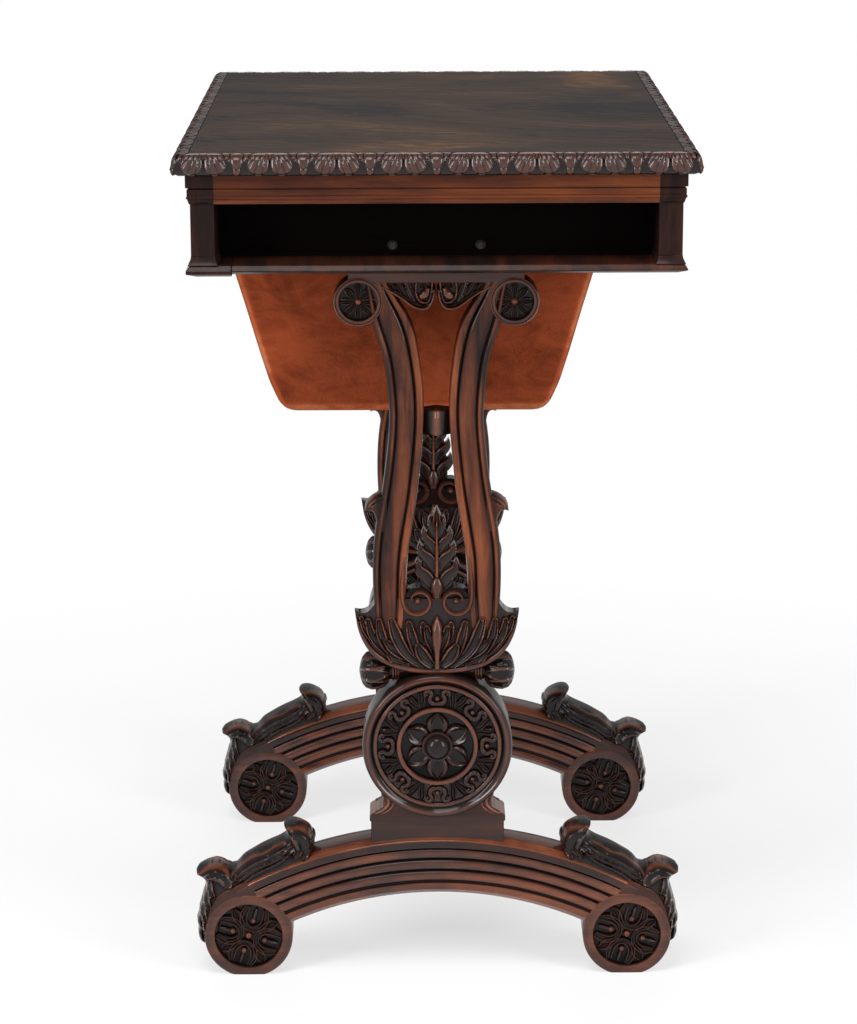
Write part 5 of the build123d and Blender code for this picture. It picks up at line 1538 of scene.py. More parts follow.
ROUNDEL_PROFILE = (
    # radius, depth below the face, how worn (its low values in the sunk fields paint shade)
    (0.0, ROUNDEL_HEART_SINK, 0.0),
    (31.6, ROUNDEL_HEART_SINK, 0.02),
    (32.2, 3.0, 0.4),
    (32.8, 2.0, 0.75),
    (34.4, 1.4, 0.85),
    (36.0, 2.0, 0.8),
    (36.7, 3.2, 0.3),
    (37.3, ROUNDEL_SINK, 0.0),
    (53.0, ROUNDEL_SINK, 0.0),
    (53.5, 3.2, 0.2),
    (54.4, 2.2, 0.7),
    (56.0, 1.8, 0.8),
    (57.4, 2.4, 0.5),
    (58.2, 3.8, 0.0),
    (59.6, 3.2, 0.1),
    (61.0, 1.2, 0.5),
    (62.6, 0.2, 0.8),
    (64.6, 0.6, 0.5),
    (66.2, 2.2, 0.4),
    (67.0, 4.6, 0.3),
    (67.0, 14.0, 0.2),
)


def roundel_body():
    """Turned disc of a roundel, the same on both faces, about its centre."""
    half = np.array(ROUNDEL_PROFILE)
    half[:, 1] = roundel_face - half[:, 1]
    return lathe(both_sides(half), 160)


def roundel_flower():
    """Six broad petals with raised rims round a domed boss."""
    widths = (5.4, 8.4, 10.0, 10.4, 10.0, 8.2, 4.6, 1.4)
    heights = (3.0, 3.8, 4.6, 5.4, 5.9, 6.0, 5.6, 4.8)
    petal = leaf([(0, 11), (0, 18), (0, 25), (0, 31.2)], widths, heights, cup, 26, 17, worn=0.5)
    petals = repeated(petal, 6, turn=math.tau / 6)
    boss = [
        # radius, height, how worn (its low values in the groove and at the foot paint shade)
        (0, 15.0, 0.20),
        (4.0, 14.5, 0.20),
        (7.6, 12.7, 0.22),
        (10.0, 10.1, 0.25),
        (11.4, 7.2, 0.3),
        (11.6, 6.0, 0.05),
        (13.3, 5.8, 0.55),
        (13.8, 4.8, 0.55),
        (13.3, 3.6, 0.2),
        (12.4, -1.0, 0.0),
        (0, -1.0, 0.0),
    ]
    return joined([petals, lathe(boss, 64)])


class WORKTABLE_OT_roundels(bpy.types.Operator):
    """Turn and carve the roundels and their flowers."""

    bl_idname = "worktable.roundels"
    bl_label = "Roundels"

    def execute(self, context):
        count = context.scene.work_table_carving.roundel_motifs
        ring = repeated(roundel_motif(), count, turn=math.tau / count)
        field = moved(raised(ring, roundel_face - ROUNDEL_SINK), 0, roundel_z)
        body = moved(roundel_body(), 0, roundel_z)
        flower = moved(raised(roundel_flower(), roundel_face - ROUNDEL_HEART_SINK), 0, roundel_z)
        on_each_standard("carved_roundel", "rosewood carved", "roundel", [body], [field])
        flowers = [on_face(flower, end, end) for _, end in ENDS]
        piece("roundel_rosettes", flowers, "rosewood carved", "stand", ["roundel_flowers"])
        return {"FINISHED"}


STRETCHER_PROFILE = (
    # share of the way from the middle to a roundel, radius, how worn (its low values in the grooves
    # paint shade)
    (0.0, 20.0, 0.8),
    (0.035, 19.4, 0.7),
    (0.09, 17.2, 0.5),
    (0.15, 11.5, 0.3),
    (0.195, 8.8, 0.2),
    (0.205, 9.2, 0.1),
    (0.212, 13.4, 0.9),
    (0.228, 14.4, 1.0),
    (0.242, 13.4, 0.9),
    (0.25, 9.2, 0.1),
    (0.30, 9.8, 0.3),
    (0.42, 13.0, 0.5),
    (0.60, 15.6, 0.6),
    (0.73, 14.2, 0.5),
    (0.82, 10.2, 0.3),
    (0.835, 10.6, 0.1),
    (0.842, 15.8, 0.9),
    (0.856, 17.0, 1.0),
    (0.872, 15.8, 0.9),
    (0.88, 12.0, 0.1),
    (0.90, 15.0, 0.3),
    (0.925, 22.0, 0.6),
    (0.94, 27.0, 0.9),
    (0.955, STRETCHER_MOST_R, 1.0),
    (1.0, STRETCHER_MOST_R, 0.6),
)


class WORKTABLE_OT_stretcher(bpy.types.Operator):
    """Turn the stretcher between the roundels."""

    bl_idname = "worktable.stretcher"
    bl_label = "Stretcher"

    def execute(self, context):
        seat = standard_y - roundel_face + ROUNDEL_HEART_SINK
        scale = stretcher_high[0] / STRETCHER_MOST_R
        half = np.array([(r * scale, t * seat, w) for t, r, w in STRETCHER_PROFILE])
        whole = both_sides(half[::-1], 1)
        solid = lathe(np.concatenate([[(0, seat, 0)], whole, [(0, -seat, 0)]]), 64)
        solid = solid.mapped(lambda p: np.column_stack([p[:, 0], p[:, 2], roundel_z + p[:, 1]]))
        piece("turned_stretcher", [solid], "rosewood turned", "stand", ["stretcher"])
        return {"FINISHED"}


class WORKTABLE_OT_pedestals(bpy.types.Operator):
    """Shape the scrolled blocks between the roundels and the feet."""

    bl_idname = "worktable.pedestals"
    bl_label = "Pedestals"

    def execute(self, context):
        face = (pedestal_high[1] - pedestal_low[1]) / 2 - 1.0
        base_half, base = pedestal_high[0], foot_crest
        neck = base_half - 14.0
        outline = np.array(
            [
                (neck + 5, roundel_z - roundel_r / 2),
                (neck + 3.4, base + 38),
                (neck + 0.6, base + 34),
                (neck + 0.4, base + 30),
                (neck + 2.6, base + 26),
                (neck + 7.5, base + 22.6),
                (neck + 12, base + 20.8),
                (base_half, base + 18.6),
                (base_half, base + 14),
                (base_half - 1.2, base + 12.8),
                (base_half - 1.2, base - 12),
            ]
        )
        edge = np.concatenate([outline, (outline * (-1, 1))[::-1]])
        block = slab(edge, -face, face, 0.8, (0.4, 0.75))
        scroll = [
            (neck + 1.6, base + 48),
            (neck - 2.0, base + 38),
            (neck - 3.0, base + 31),
            (neck + 1.5, base + 25),
            (neck + 9, base + 21.2),
        ]
        line = leaf(scroll, (1.0, 1.5, 1.7, 1.6, 1.2), (1.4, 1.8, 2.0, 2.0, 1.6), full, 24, 7)
        beside = [(x - 4.2, z - 1.0) for x, z in scroll]
        second = leaf(beside, (0.5, 0.9, 1.0, 0.9, 0.4), (0.9, 1.2, 1.3, 1.2, 0.8), full, 24, 7)
        relief = [raised(s, face) for s in mirrored([line, second])]
        on_each_standard("scrolled_block", "rosewood carved long", "pedestal", [block], relief)
        return {"FINISHED"}


# =====================================================================================
# Feet
# =====================================================================================
def foot_section():
    """Radius, half thickness and how worn down one face of the reeded arch; low values in the
    grooves paint shade.
    """
    half = FOOT_HALF
    top = FOOT_ARC_R
    lines = [top - REED_FIRST - k * REED_PITCH for k in range(4)]
    points = [
        (top, 0, 0.6),
        (top, half - 8.6, 0.6),
        (top - 0.3, half - 7.8, 0.95),
        (top - 3.6, half - 0.9, 0.95),
        (top - 4.4, half - 0.2, 1.0),
        (top - 5.0, half, 0.45),
        (lines[0] + 1.2, half, 0.4),
        (lines[0] + 0.5, half - 0.4, 0.55),
        (lines[0] + 0.1, half - 2.4, 0.0),
        (lines[0] - 0.9, half - 2.9, 0.0),
    ]
    for upper, lower in zip(lines[:-1], lines[1:]):
        middle, reach = (upper + lower) / 2, (upper - lower) / 2 - 1.0
        for turn in np.linspace(0.16, math.pi - 0.16, 9):
            rise = math.sin(turn) ** 0.7
            radius = middle + reach * math.cos(turn)
            points.append((radius, half - 2.8 + 2.7 * rise, 0.10 + 0.75 * rise))
        points.append((lower + 0.1, half - 3.1, 0.0))
    low = top - FOOT_HIGH
    points += [
        (lines[-1] - 1.0, half - 2.6, 0.0),
        (lines[-1] - 1.4, half - 0.8, 0.7),
        (lines[-1] - 2.2, half - 0.5, 0.8),
        (low + 4.4, half - 0.5, 0.75),
        (low + 3.8, half - 1.2, 1.0),
        (low + 0.8, half - 3.8, 0.8),
        (low, half - 5.2, 0.5),
        (low, 0, 0.2),
    ]
    return np.array(points)


def foot_arch(rows=96):
    """The arch: that section lofted about the centre of its arc, up to the rims of its discs."""
    ring = both_sides(foot_section(), 1)[:-1]
    far = math.hypot(foot_disc_x, foot_disc_z - arc_z)
    toward = math.atan2(foot_disc_x, foot_disc_z - arc_z)
    rim = FOOT_DISC_R - 3.0
    opening = (ring[:, 0] ** 2 + far**2 - rim**2) / (2 * ring[:, 0] * far)
    over = np.arcsin((foot_disc_x + 10.0) / ring[:, 0])
    end = np.minimum(toward - np.arccos(np.clip(opening, -1, 1)), over)
    angle = np.linspace(-1, 1, rows)[:, None] * end
    rings = np.dstack(
        [
            ring[:, 0] * np.sin(angle),
            arc_z + ring[:, 0] * np.cos(angle),
            np.broadcast_to(ring[:, 1], (rows, len(ring))),
        ]
    )
    return loft(rings, ring[:, 2])


def foot_scroll():
    """Shoulder of the foot over the outer side of its disc."""
    shoulder = foot_disc_x + 12.7
    top = arc_z + math.sqrt(FOOT_ARC_R**2 - shoulder**2)
    arch_end = foot_disc_x + 2.0
    arch_top = arc_z + math.sqrt(FOOT_ARC_R**2 - arch_end**2)
    round_part = curve(
        [
            (arch_end, arch_top),
            (shoulder, top),
            (foot_disc_x + 25, foot_disc_z + 40.5),
            (foot_disc_x + 33.5, foot_disc_z + 28.5),
            (foot_disc_x + FOOT_DISC_R - 0.6, foot_disc_z + 10),
        ],
        22,
    )
    turn = np.radians(np.linspace(12, 116, 20))
    rim = (FOOT_DISC_R - 4.0) * np.column_stack([np.cos(turn), np.sin(turn)])
    outline = np.concatenate([round_part, rim + (foot_disc_x, foot_disc_z)])
    return slab(outline, -FOOT_HALF + 0.15, FOOT_HALF - 0.15, 0.8, (0.45, 0.7))


def foot_rosette():
    """Four looped petals round beads, four pointed leaves between them, a little turned."""
    path = [
        (-8.2, 28.0), (-9.8, 20.5), (-8.6, 12.8), (0, 7.2), (8.6, 12.8), (9.8, 20.5), (8.2, 28.0),
    ]
    widths, heights = (2.4, 4.0, 3.6, 2.6, 3.6, 4.0, 2.4), (3.0, 4.6, 4.4, 3.8, 4.4, 4.6, 3.0)
    loop = leaf(path, widths, heights, cup, 64, 13, worn=0.55)
    stem, widths = [(0, 13), (0, 20), (0, 27)], (1.6, 1.7, 2.2, 1.2)
    stalk = leaf(stem, widths, (3.0, 3.2, 3.4, 2.4), full, 12, 7, worn=0.4)
    stem, widths = [(0, 9), (0, 19), (0, 29.6)], (1.4, 3.4, 5.4, 5.0, 0.6)
    between = leaf(stem, widths, (2.4, 3.6, 4.2, 4.0, 2.8), cup_rib, 22, 13, worn=0.5)
    drop = bead(0, 15.0, 3.0, 4.6, worn=0.7)
    petal = joined([loop, stalk, drop, moved(between, 0, 0, math.pi / 4)])
    petals = repeated(petal, 4, turn=math.tau / 4, start=-0.30)
    return joined([petals, bead(0, 0, 3.4, 4.8, worn=0.8)])


class WORKTABLE_OT_feet(bpy.types.Operator):
    """Shape the reeded, arched feet and their rosettes."""

    bl_idname = "worktable.feet"
    bl_label = "Feet"

    def execute(self, context):
        disc = sunk_disc(FOOT_DISC_R, FOOT_SUNK_R, FOOT_HALF + 0.1, FOOT_SINK + 0.6, 0.8, False)
        ends = mirrored([moved(disc, foot_disc_x, foot_disc_z), foot_scroll()])

        def grounded(p):
            p[:, 1] = np.maximum(p[:, 1], 0.0)
            return p

        solids = [foot_arch()] + [s.mapped(grounded) for s in ends]
        rosette = raised(foot_rosette(), FOOT_HALF - FOOT_SINK)
        flowers = [moved(rosette, sx * foot_disc_x, foot_disc_z) for sx in (-1, 1)]
        on_each_standard("arched_foot", "rosewood carved long", "foot", solids)
        stamped = [on_both_faces(s, end) for _, end in ENDS for s in flowers]
        piece("foot_flowers", stamped, "rosewood carved long", "stand", ["foot_rosettes"])
        return {"FINISHED"}


def foot_leaf_solid():
    """Acanthus over the end of a foot: two curls, the blade between them and the tail."""
    top = [
        (-60.5, 86), (-58, 93), (-52, 100), (-44, 103.5), (-36, 103.6), (-32.6, 101.6),
        (-35.0, 97.4), (-35.2, 93.5), (-31, 89.0), (-22, 84.2), (-12, 79.4), (-2, 73.6),
        (7, 67.0), (13.5, 61.0),
        (18, 61.6), (25, 64.4), (33, 65.2), (40.5, 62.6), (47.4, 57.0), (43.2, 53.4), (39.4, 48.6),
        (40.6, 40), (44.0, 28), (46.2, 16), (45.2, 5), (41.0, -6), (36.5, -13),
    ]
    relief = Relief(*even_grid((-62, -14), (48, 105), 0.75), FOOT_HALF - 2.6, mirror=False)
    relief.fill([*curve(top, 150), (24, 0), (18, 34), (-20, 52), (-58, 66)])
    relief.stroke([(-58, 90), (-54, 81), (-51, 72.0)], (3.4, 4.2, 1.2), (2.4, 3.4, 2.6), cup)
    relief.stroke([(-50, 90), (-46, 81), (-41, 73.5)], (3.4, 4.4, 1.2), (2.4, 3.4, 2.6), cup)
    for a, b in curve([(12, 56), (-13, 70), (-38, 81)], 8):
        path = [(a - 5, b + 4.5), (a + 2, b - 0.5), (a + 7, b - 7.5)]
        relief.stroke(path, (2.2, 3.2, 3.2, 0.9), (2.4, 3.2, 3.4, 2.6), cup)
    blade = ((-33, 91.5), (-20, 83), (-6, 76.3), (7, 67.6), (15, 60.5))
    for drop, half, rise in ((14.5, 1.7, 3.0), (10.8, 2.0, 3.6), (7.0, 2.2, 4.1), (3.0, 2.4, 4.3)):
        path = [(a - drop * 0.42, b - drop) for a, b in blade]
        widths = (0.8, half, half * 0.8, half, half * 0.9, 0.6)
        relief.stroke(path, widths, (rise * 0.7, rise, rise * 0.85, rise), feather, steps=90)
    wave = [(-55, 84), (-52.5, 92), (-46, 97), (-37, 99.5)]
    relief.stroke(wave, (5.5, 6.2, 5.2, 3.0), (3.4, 4.2, 4.4, 4.0), feather)
    relief.stroke([(-46, 84), (-44, 89), (-40, 94.5)], (2.4, 2.8, 1.2), (3.4, 4.0, 3.6))
    second = [(18, 50), (22, 57), (30, 60.5), (38, 59), (45, 56.5)]
    relief.stroke(second, (4.6, 5.6, 5.4, 4.0, 1.6), (3.4, 4.2, 4.4, 4.4, 3.6), feather)
    relief.stroke([(22, 50), (28, 55), (36, 55.5)], (2.2, 2.6, 1.0), (3.4, 4.0, 3.6))
    for k, (a, b) in enumerate(curve([(34, 52), (38.5, 36), (43.0, 20), (42.5, 6)], 5)):
        path = [(a, b), (a + 0.4, b - 8), (a - 4.0 + k * 0.4, b - 17)]
        relief.stroke(path, (2.4, 4.0, 3.4, 0.8), (3.2, 4.0, 3.8, 2.8), cup)
    return moved(relief.plank(7.5, crown=True), foot_disc_x, foot_disc_z)


class WORKTABLE_OT_foot_leaves(bpy.types.Operator):
    """Carve the acanthus leaves over the ends of the feet."""

    bl_idname = "worktable.foot_leaves"
    bl_label = "Foot leaves"

    def execute(self, context):
        both = mirrored([foot_leaf_solid()])
        solids = [on_face(s, end, 1) for _, end in ENDS for s in both]
        piece("acanthus_leaves", solids, "rosewood leaves", "stand", ["foot_leaves"])
        return {"FINISHED"}


class WORKTABLE_OT_tie_blocks(bpy.types.Operator):
    """Shape the faceted blocks that tie the arms together."""

    bl_idname = "worktable.tie_blocks"
    bl_label = "Tie blocks"

    def execute(self, context):
        # reach from the middle, distance out from the standard's face, how worn (its low values on
        # the sunk facets paint shade)
        facets = ((0.9, 0.9), (1.8, 0.2), (5.5, -2.6), (10, -5.0), (tie_high[0], -6.6))
        quarter = np.array([(a, plank_half + out) for a, out in facets])
        worn = np.array([1.0, 0.9, 0.15, 0.15, 0.2])
        right = np.concatenate([quarter, (quarter * (1, -1))[::-1]])
        ring = np.concatenate([right, (right * (-1, 1))[::-1]])
        low, high = tie_low[2], tie_high[2]
        rows = []
        for z, scale in ((low, 0.93), (low + 1.0, 1.0), (high - 1.0, 1.0), (high, 0.93)):
            rows.append(level(ring * (1, scale), z)[:, [0, 2, 1]])
        block = loft(rows, np.tile(np.concatenate([worn, worn[::-1]]), 2))
        solids = [on_face(block, end, 1) for _, end in ENDS]
        piece("faceted_ties", solids, "rosewood carved", "stand", ["tie_blocks"])
        return {"FINISHED"}


# =====================================================================================
# Lid edge
# =====================================================================================
def edge_profile():
    """Outward reach and height down the carved moulding, by arc length."""
    reach, wide, low, top = edge_reach, edge_wide, edge_bottom, edge_top
    points = [
        (reach - wide + 0.8, top - 0.6),
        (reach - wide * 0.55, top - 1.5),
        (reach - wide * 0.24, top - 4.9),
        (reach - 2.2, top - 9.6),
        (reach - 1.6, low + 4.6),
        (reach - 3.4, low + 1.6),
    ]
    return curve(points, 60)


def edge_unit():
    """Two fluted lobes of a leaf with half of a small one on each side, in (along, down, out)."""
    half = EDGE_PITCH / 2
    a = np.linspace(-half, half, 91)[:, None] + np.zeros(39)
    b = np.linspace(0, EDGE_DOWN, 39)[None, :] + np.zeros((91, 1))
    relief = Relief(a, b, 0.3)
    strokes = (
        # path, half widths, heights, how rubbed
        ([(20.4, 0.0), (17.6, 4.0), (18.4, 8.0)], (3.4, 3.6, 3.0), (1.6, 2.4, 2.2), 0.0),
        ([(9.2, 20.6), (9.4, 23.0)], (3.4, 3.4), (2.2, 2.4), 0.1),
        ([(half, 19.5), (half, 21.6)], (3.0, 3.0), (1.8, 2.0), 0.1),
        ([(half, 0.0), (half, 8.0), (half, 15.0)], (3.0, 5.0, 5.4, 4.0), (1.8, 2.6, 3.4, 2.8), 0.0),
        ([(3.8, 0.0), (8.4, 8.5), (9.4, 14.8)], (3.4, 6.4, 8.6, 8.8), (2.0, 3.2, 4.6, 4.2), 0.0),
    )
    for path, widths, heights, rub in strokes:
        relief.stroke(path, widths, heights, rub=rub)
    # The flat ground between the leaves is pushed below unworn, so it takes the near-black tone as
    # painted shade.
    relief.rub[relief.cover < 0] = -0.35
    fan = np.arctan2(relief.a, relief.b + 7.0)
    on_lobe = np.clip((relief.h - 1.2) / 1.5, 0, 1) * (relief.a < 18.6)
    relief.h = relief.h - 1.1 * on_lobe * np.clip(np.cos(fan * 30.0), 0, 1) ** 2
    relief.stroke([(0, 0), (0, 5.0), (0, 10.0)], (4.4, 2.6, 0.8), (2.6, 2.8, 2.0), rub=0.22)
    return relief.plate()


def edge_place(name, half_length, shift):
    """Function from (along, down, out) to the frame for one side of the lid."""
    line = edge_profile()
    steps = np.r_[0, np.cumsum(np.linalg.norm(np.diff(line, axis=0), axis=1))]
    ahead = np.gradient(line, axis=0)
    normal = np.stack([-ahead[:, 1], ahead[:, 0]], 1)
    normal /= np.linalg.norm(normal, axis=1)[:, None]
    scale = steps[-1] / EDGE_DOWN

    def place(p):
        down = np.clip(p[:, 1] * scale, 0, steps[-1])
        out = p[:, 2] * EDGE_RISE - EDGE_SET_IN
        r = np.interp(down, steps, line[:, 0]) + np.interp(down, steps, normal[:, 0]) * out
        z = np.interp(down, steps, line[:, 1]) + np.interp(down, steps, normal[:, 1]) * out
        r = np.clip(r, edge_reach - edge_wide + 0.1, edge_reach - 0.05)
        z = np.clip(z, edge_bottom + 0.1, edge_top - 0.05)
        inset = edge_reach - r
        along = np.clip(p[:, 0], -(half_length - inset), half_length - inset)
        return frame_axes(name, r + shift, along, z)

    return place


def frame_axes(name, r, along, z):
    """Points from outward reach, distance along a side and height."""
    axes = {
        "front": (-r, along, z),
        "back": (r, -along, z),
        "right": (along, -r, z),
        "left": (-along, r, z),
    }
    return np.column_stack(axes[name])


class WORKTABLE_OT_lid_edge(bpy.types.Operator):
    """Carve the leaf moulding round the lid."""

    bl_idname = "worktable.lid_edge"
    bl_label = "Lid edge"

    def execute(self, context):
        long_half, reach, back = edge_high[1], edge_reach, edge_reach - edge_wide
        unit = edge_unit()
        rim = (edge_profile()[::4] + (-1.2, -0.5)).tolist()
        rim += [(reach - 6.6, edge_bottom + 0.3), (back, edge_bottom), (back, edge_top - 0.6)]
        core = np.array(rim)
        inset = reach - core[:, 0]
        for name, outer, half, finish in (
            ("front", reach, long_half, "rosewood long edge"),
            ("back", reach, long_half, "rosewood long edge"),
            # the ends use the lighter copy of the finish, which paints their light
            ("right", long_half, reach, "rosewood edge"),
            ("left", long_half, reach, "rosewood edge"),
        ):
            shift = outer - reach
            rings = []
            for sign in (-1, 1):
                along = sign * (half - inset)
                rings.append(frame_axes(name, core[:, 0] + shift, along, core[:, 1]))
            count = round(2 * half / EDGE_PITCH)
            stretch = 2 * half / (count * EDGE_PITCH)
            row = repeated(unit, count, step=(EDGE_PITCH, 0, 0), finish=finish)

            def spread_out(p, stretch=stretch, count=count):
                p[:, 0] = (p[:, 0] - (count - 1) * EDGE_PITCH / 2) * stretch
                return p

            row = row.mapped(spread_out).mapped(edge_place(name, half, shift))
            solids = [loft(rings, 0.06), row]
            piece(f"lid_leaf_edge_{name}", solids, finish, "lid", [f"lid_edge_{name}"])
        return {"FINISHED"}


# =====================================================================================
# Soft parts and the inside
# =====================================================================================
# share of the depth of the box, share of the taper reached there
VELVET_DEPTHS = (0, 0.3, 0.6, 0.8, 0.92, 1)
VELVET_DRAW = (0, 0.27, 0.53, 0.715, 0.87, 1)


def rounded_ring(half_x, half_y, corner, per_corner=10, per_side=14):
    """Rectangle with round corners, with even points along each side."""
    points = []
    signs = ((1, 1), (-1, 1), (-1, -1), (1, -1))
    centres = [np.array([sx * (half_x - corner), sy * (half_y - corner)]) for sx, sy in signs]
    for k, centre in enumerate(centres):
        for turn in np.linspace(k * math.pi / 2, (k + 1) * math.pi / 2, per_corner):
            points.append(centre + corner * ray(turn))
        after = centres[(k + 1) % 4]
        reach = corner * ray((k + 1) * math.pi / 2)
        for share in np.linspace(0, 1, per_side + 2)[1:-1]:
            points.append(centre + reach + (after - centre) * share)
    return np.array(points)


def cut_cloth(low, high, taper):
    """Flat size and area, in metres, of a cloth over the floor and four sides of a box."""
    wide, long, deep = (high - low) * MM
    slant = math.hypot(deep, taper * MM)
    small_x, small_y = wide - 2 * taper * MM, long - 2 * taper * MM
    area = small_x * small_y + (wide + small_x + long + small_y) * slant
    return (small_x + 2 * slant, small_y + 2 * slant), area


def velvet_shell():
    """Velvet stretched over the tapering box, with soft corners and a full lower half."""
    centre = np.array([(velvet_low[0] + velvet_high[0]) / 2, 0.0])
    half_x, half_y, _ = (velvet_high - velvet_low) / 2
    top, deep = velvet_high[2], velvet_high[2] - velvet_low[2]
    outer, wear = [], []
    for share in np.concatenate([np.linspace(0, 0.93, 26), [0.955, 0.975, 0.99, 0.998, 1.0]]):
        soft = max(0.0, (share - 0.93) / 0.07)
        drawn = np.interp(share, VELVET_DEPTHS, VELVET_DRAW)
        draw = VELVET_TAPER * drawn + 5.0 * (1 - math.sqrt(max(0.0, 1 - soft**2)))
        ring = rounded_ring(half_x - draw, half_y - draw, VELVET_CORNER)
        outer.append(level(ring, top - deep * share, centre))
        away_x = np.abs(np.abs(ring[:, 0]) - half_x + draw + 2)
        away_y = np.abs(np.abs(ring[:, 1]) - half_y + draw + 2)
        corner_wear = np.clip(1.6 - away_x / 4 - away_y / 4, 0, 1)
        rim = 0.9 * (0.94 < share < 0.999) + 0.5 * (share < 0.02)
        wear.append(np.clip(corner_wear + rim, 0, 1))
    return outer, wear, centre


class WORKTABLE_OT_work_box(bpy.types.Operator):
    """Cover the work box in velvet and line it with silk."""

    bl_idname = "worktable.work_box"
    bl_label = "Work box"

    def execute(self, context):
        outer, wear, centre = velvet_shell()
        floor, thick, count = velvet_low[2], VELVET_THICK, len(outer[0])
        inner = []
        for ring in outer[:-1]:
            flat = ring[:, :2] - centre
            inside = flat * (1 - thick * 1.1 / np.linalg.norm(flat, axis=1)[:, None])
            inner.append(level(inside, max(ring[0, 2], floor + thick), centre))
        flat = outer[-1][:, :2] - centre
        under = [level(flat * share, floor, centre) for share in (0.15, 0.5, 0.85, 0.97)]
        under_wear = [np.full(count, w) for w in (0.15, 0.15, 0.15, 0.35)]
        over = [ring + (0, 0, thick) for ring in under[::-1]]
        worn = under_wear + wear[::-1] + [np.full(count, 0.1)] * len(inner) + under_wear[::-1]
        cover = loft(np.array(under + outer[::-1] + inner + over), np.array(worn))
        thing = piece(
            "velvet_box_cover", [cover], "velvet pile", "work_box", ["velvet_cover"]
        )
        flat, area = cut_cloth(velvet_low, velvet_high, VELVET_TAPER)
        self.lining()
        dress(["work_box_frame", "work_box_shell"], "inner timber", 0.4)
        return {"FINISHED"}

    def lining(self):
        """Gathered silk inside the box: pleats down the walls and a flat floor."""
        centre = ((lining_low[0] + lining_high[0]) / 2, 0.0)
        half_x, half_y, _ = (lining_high - lining_low) / 2
        top, deep = lining_high[2], lining_high[2] - lining_low[2]
        taper = VELVET_TAPER * deep / (velvet_high[2] - velvet_low[2])
        outer, inner = [], []
        for share in np.linspace(0.01, 1, 16):
            draw, z = taper * share, top - deep * share
            ring = rounded_ring(half_x - draw - 0.1, half_y - draw - 0.1, 5.0, 12, 60)
            outer.append(level(ring, z, centre))
            ring = rounded_ring(half_x - draw - 0.5, half_y - draw - 0.5, 4.6, 12, 60)
            waves = (1 + np.cos(np.arange(len(ring)) * math.tau / 6)) / 2
            fold = PLEAT_DEPTH * waves * math.sin(math.pi * min(1, share * 1.2 + 0.1)) ** 0.5
            ring = ring * (1 - (fold / np.linalg.norm(ring, axis=1))[:, None])
            inner.append(level(ring, max(z, lining_low[2] + 0.8), centre))
        solid = loft(np.array(outer[::-1] + inner), 0.3)
        thing = piece("silk_box_lining", [solid], "silk weave", "work_box", ["box_lining"])


# how much smaller the pad starts, and its swelling: cell, pressure, most swell, frames
PAD_START = np.array([1.5, 1.5, 7.0])
PAD_SWELL = (4.0, 4.0, 6.0, 20)


class WORKTABLE_OT_tray(bpy.types.Operator):
    """Finish the fitted tray and pad the pincushion."""

    bl_idname = "worktable.tray"
    bl_label = "Tray"

    def execute(self, context):
        dress(["tray_box", "tray_dividers", "tray_lids"], "inner timber", 0.35)
        dress(["tray_knobs"], "aged brass")
        centre = (cushion_low + cushion_high) / 2
        half = (cushion_high - cushion_low) / 2 - PAD_START
        low, high = cushion_low[2], cushion_high[2] - PAD_START[2]
        rings = []
        for share, scale in ((0.0, 0.96), (0.06, 1.0), (0.86, 1.0), (0.95, 0.96), (1.0, 0.86)):
            ring = rounded_ring(half[0] * scale, half[1] * scale, 7.0 * scale)
            rings.append(level(ring, low + (high - low) * share, centre))
        cushion = swollen(loft(np.array(rings), 0.3), *PAD_SWELL)
        cushion.points = np.clip(cushion.points, cushion_low + 0.1, cushion_high)
        reach = np.abs(cushion.points - centre) / (cushion_high - centre)
        edge = np.maximum(reach[:, 0], reach[:, 1])
        rubbed = 0.6 * np.exp(-(((edge - 0.9) / 0.08) ** 2)) * (reach[:, 2] > 0.3)
        cushion.wear = np.clip(0.25 + rubbed, 0, 1)
        thing = piece(
            "velvet_pincushion", [cushion], "velvet pile", "stand", ["pincushion"]
        )
        return {"FINISHED"}


class WORKTABLE_OT_case(bpy.types.Operator):
    """Finish the boards and mouldings of the case."""

    bl_idname = "worktable.case"
    bl_label = "Case"

    def execute(self, context):
        dress(["lid_panel"], "figured top", 0.0)
        dress(["cornice_right", "cornice_left"], "rosewood end rail", 0.5)
        dress(["cornice_front", "cornice_back"], "rosewood side rail", 0.5)
        posts = [f"{depth}_{end}_post" for depth in ("front", "back") for end in ("right", "left")]
        dress(posts, "rosewood post", 0.6)
        # the end panels are painted dark as the shade of their recess
        dress(["right_panel", "left_panel"], "rosewood end panel", 0.4)
        dress(["front_panel", "back_panel"], "rosewood side panel", 0.4)
        dress(["base_board", "work_box_front_rail"], "rosewood ledge", 0.5)
        dress(["runners"], "rosewood side panel", 0.4)
        return {"FINISHED"}


class WORKTABLE_OT_hardware(bpy.types.Operator):
    """Finish the lock, the hinges and the bolts."""

    bl_idname = "worktable.hardware"
    bl_label = "Hardware"

    def execute(self, context):
        dress(["hinge_case_leaves", "hinge_lid_leaves", "hinge_pins"], "aged brass")
        dress(["escutcheon", "lock_strike"], "aged brass")
        dress(["case_bolts", "lock_case", "lock_bolt"], "dulled steel")
        return {"FINISHED"}


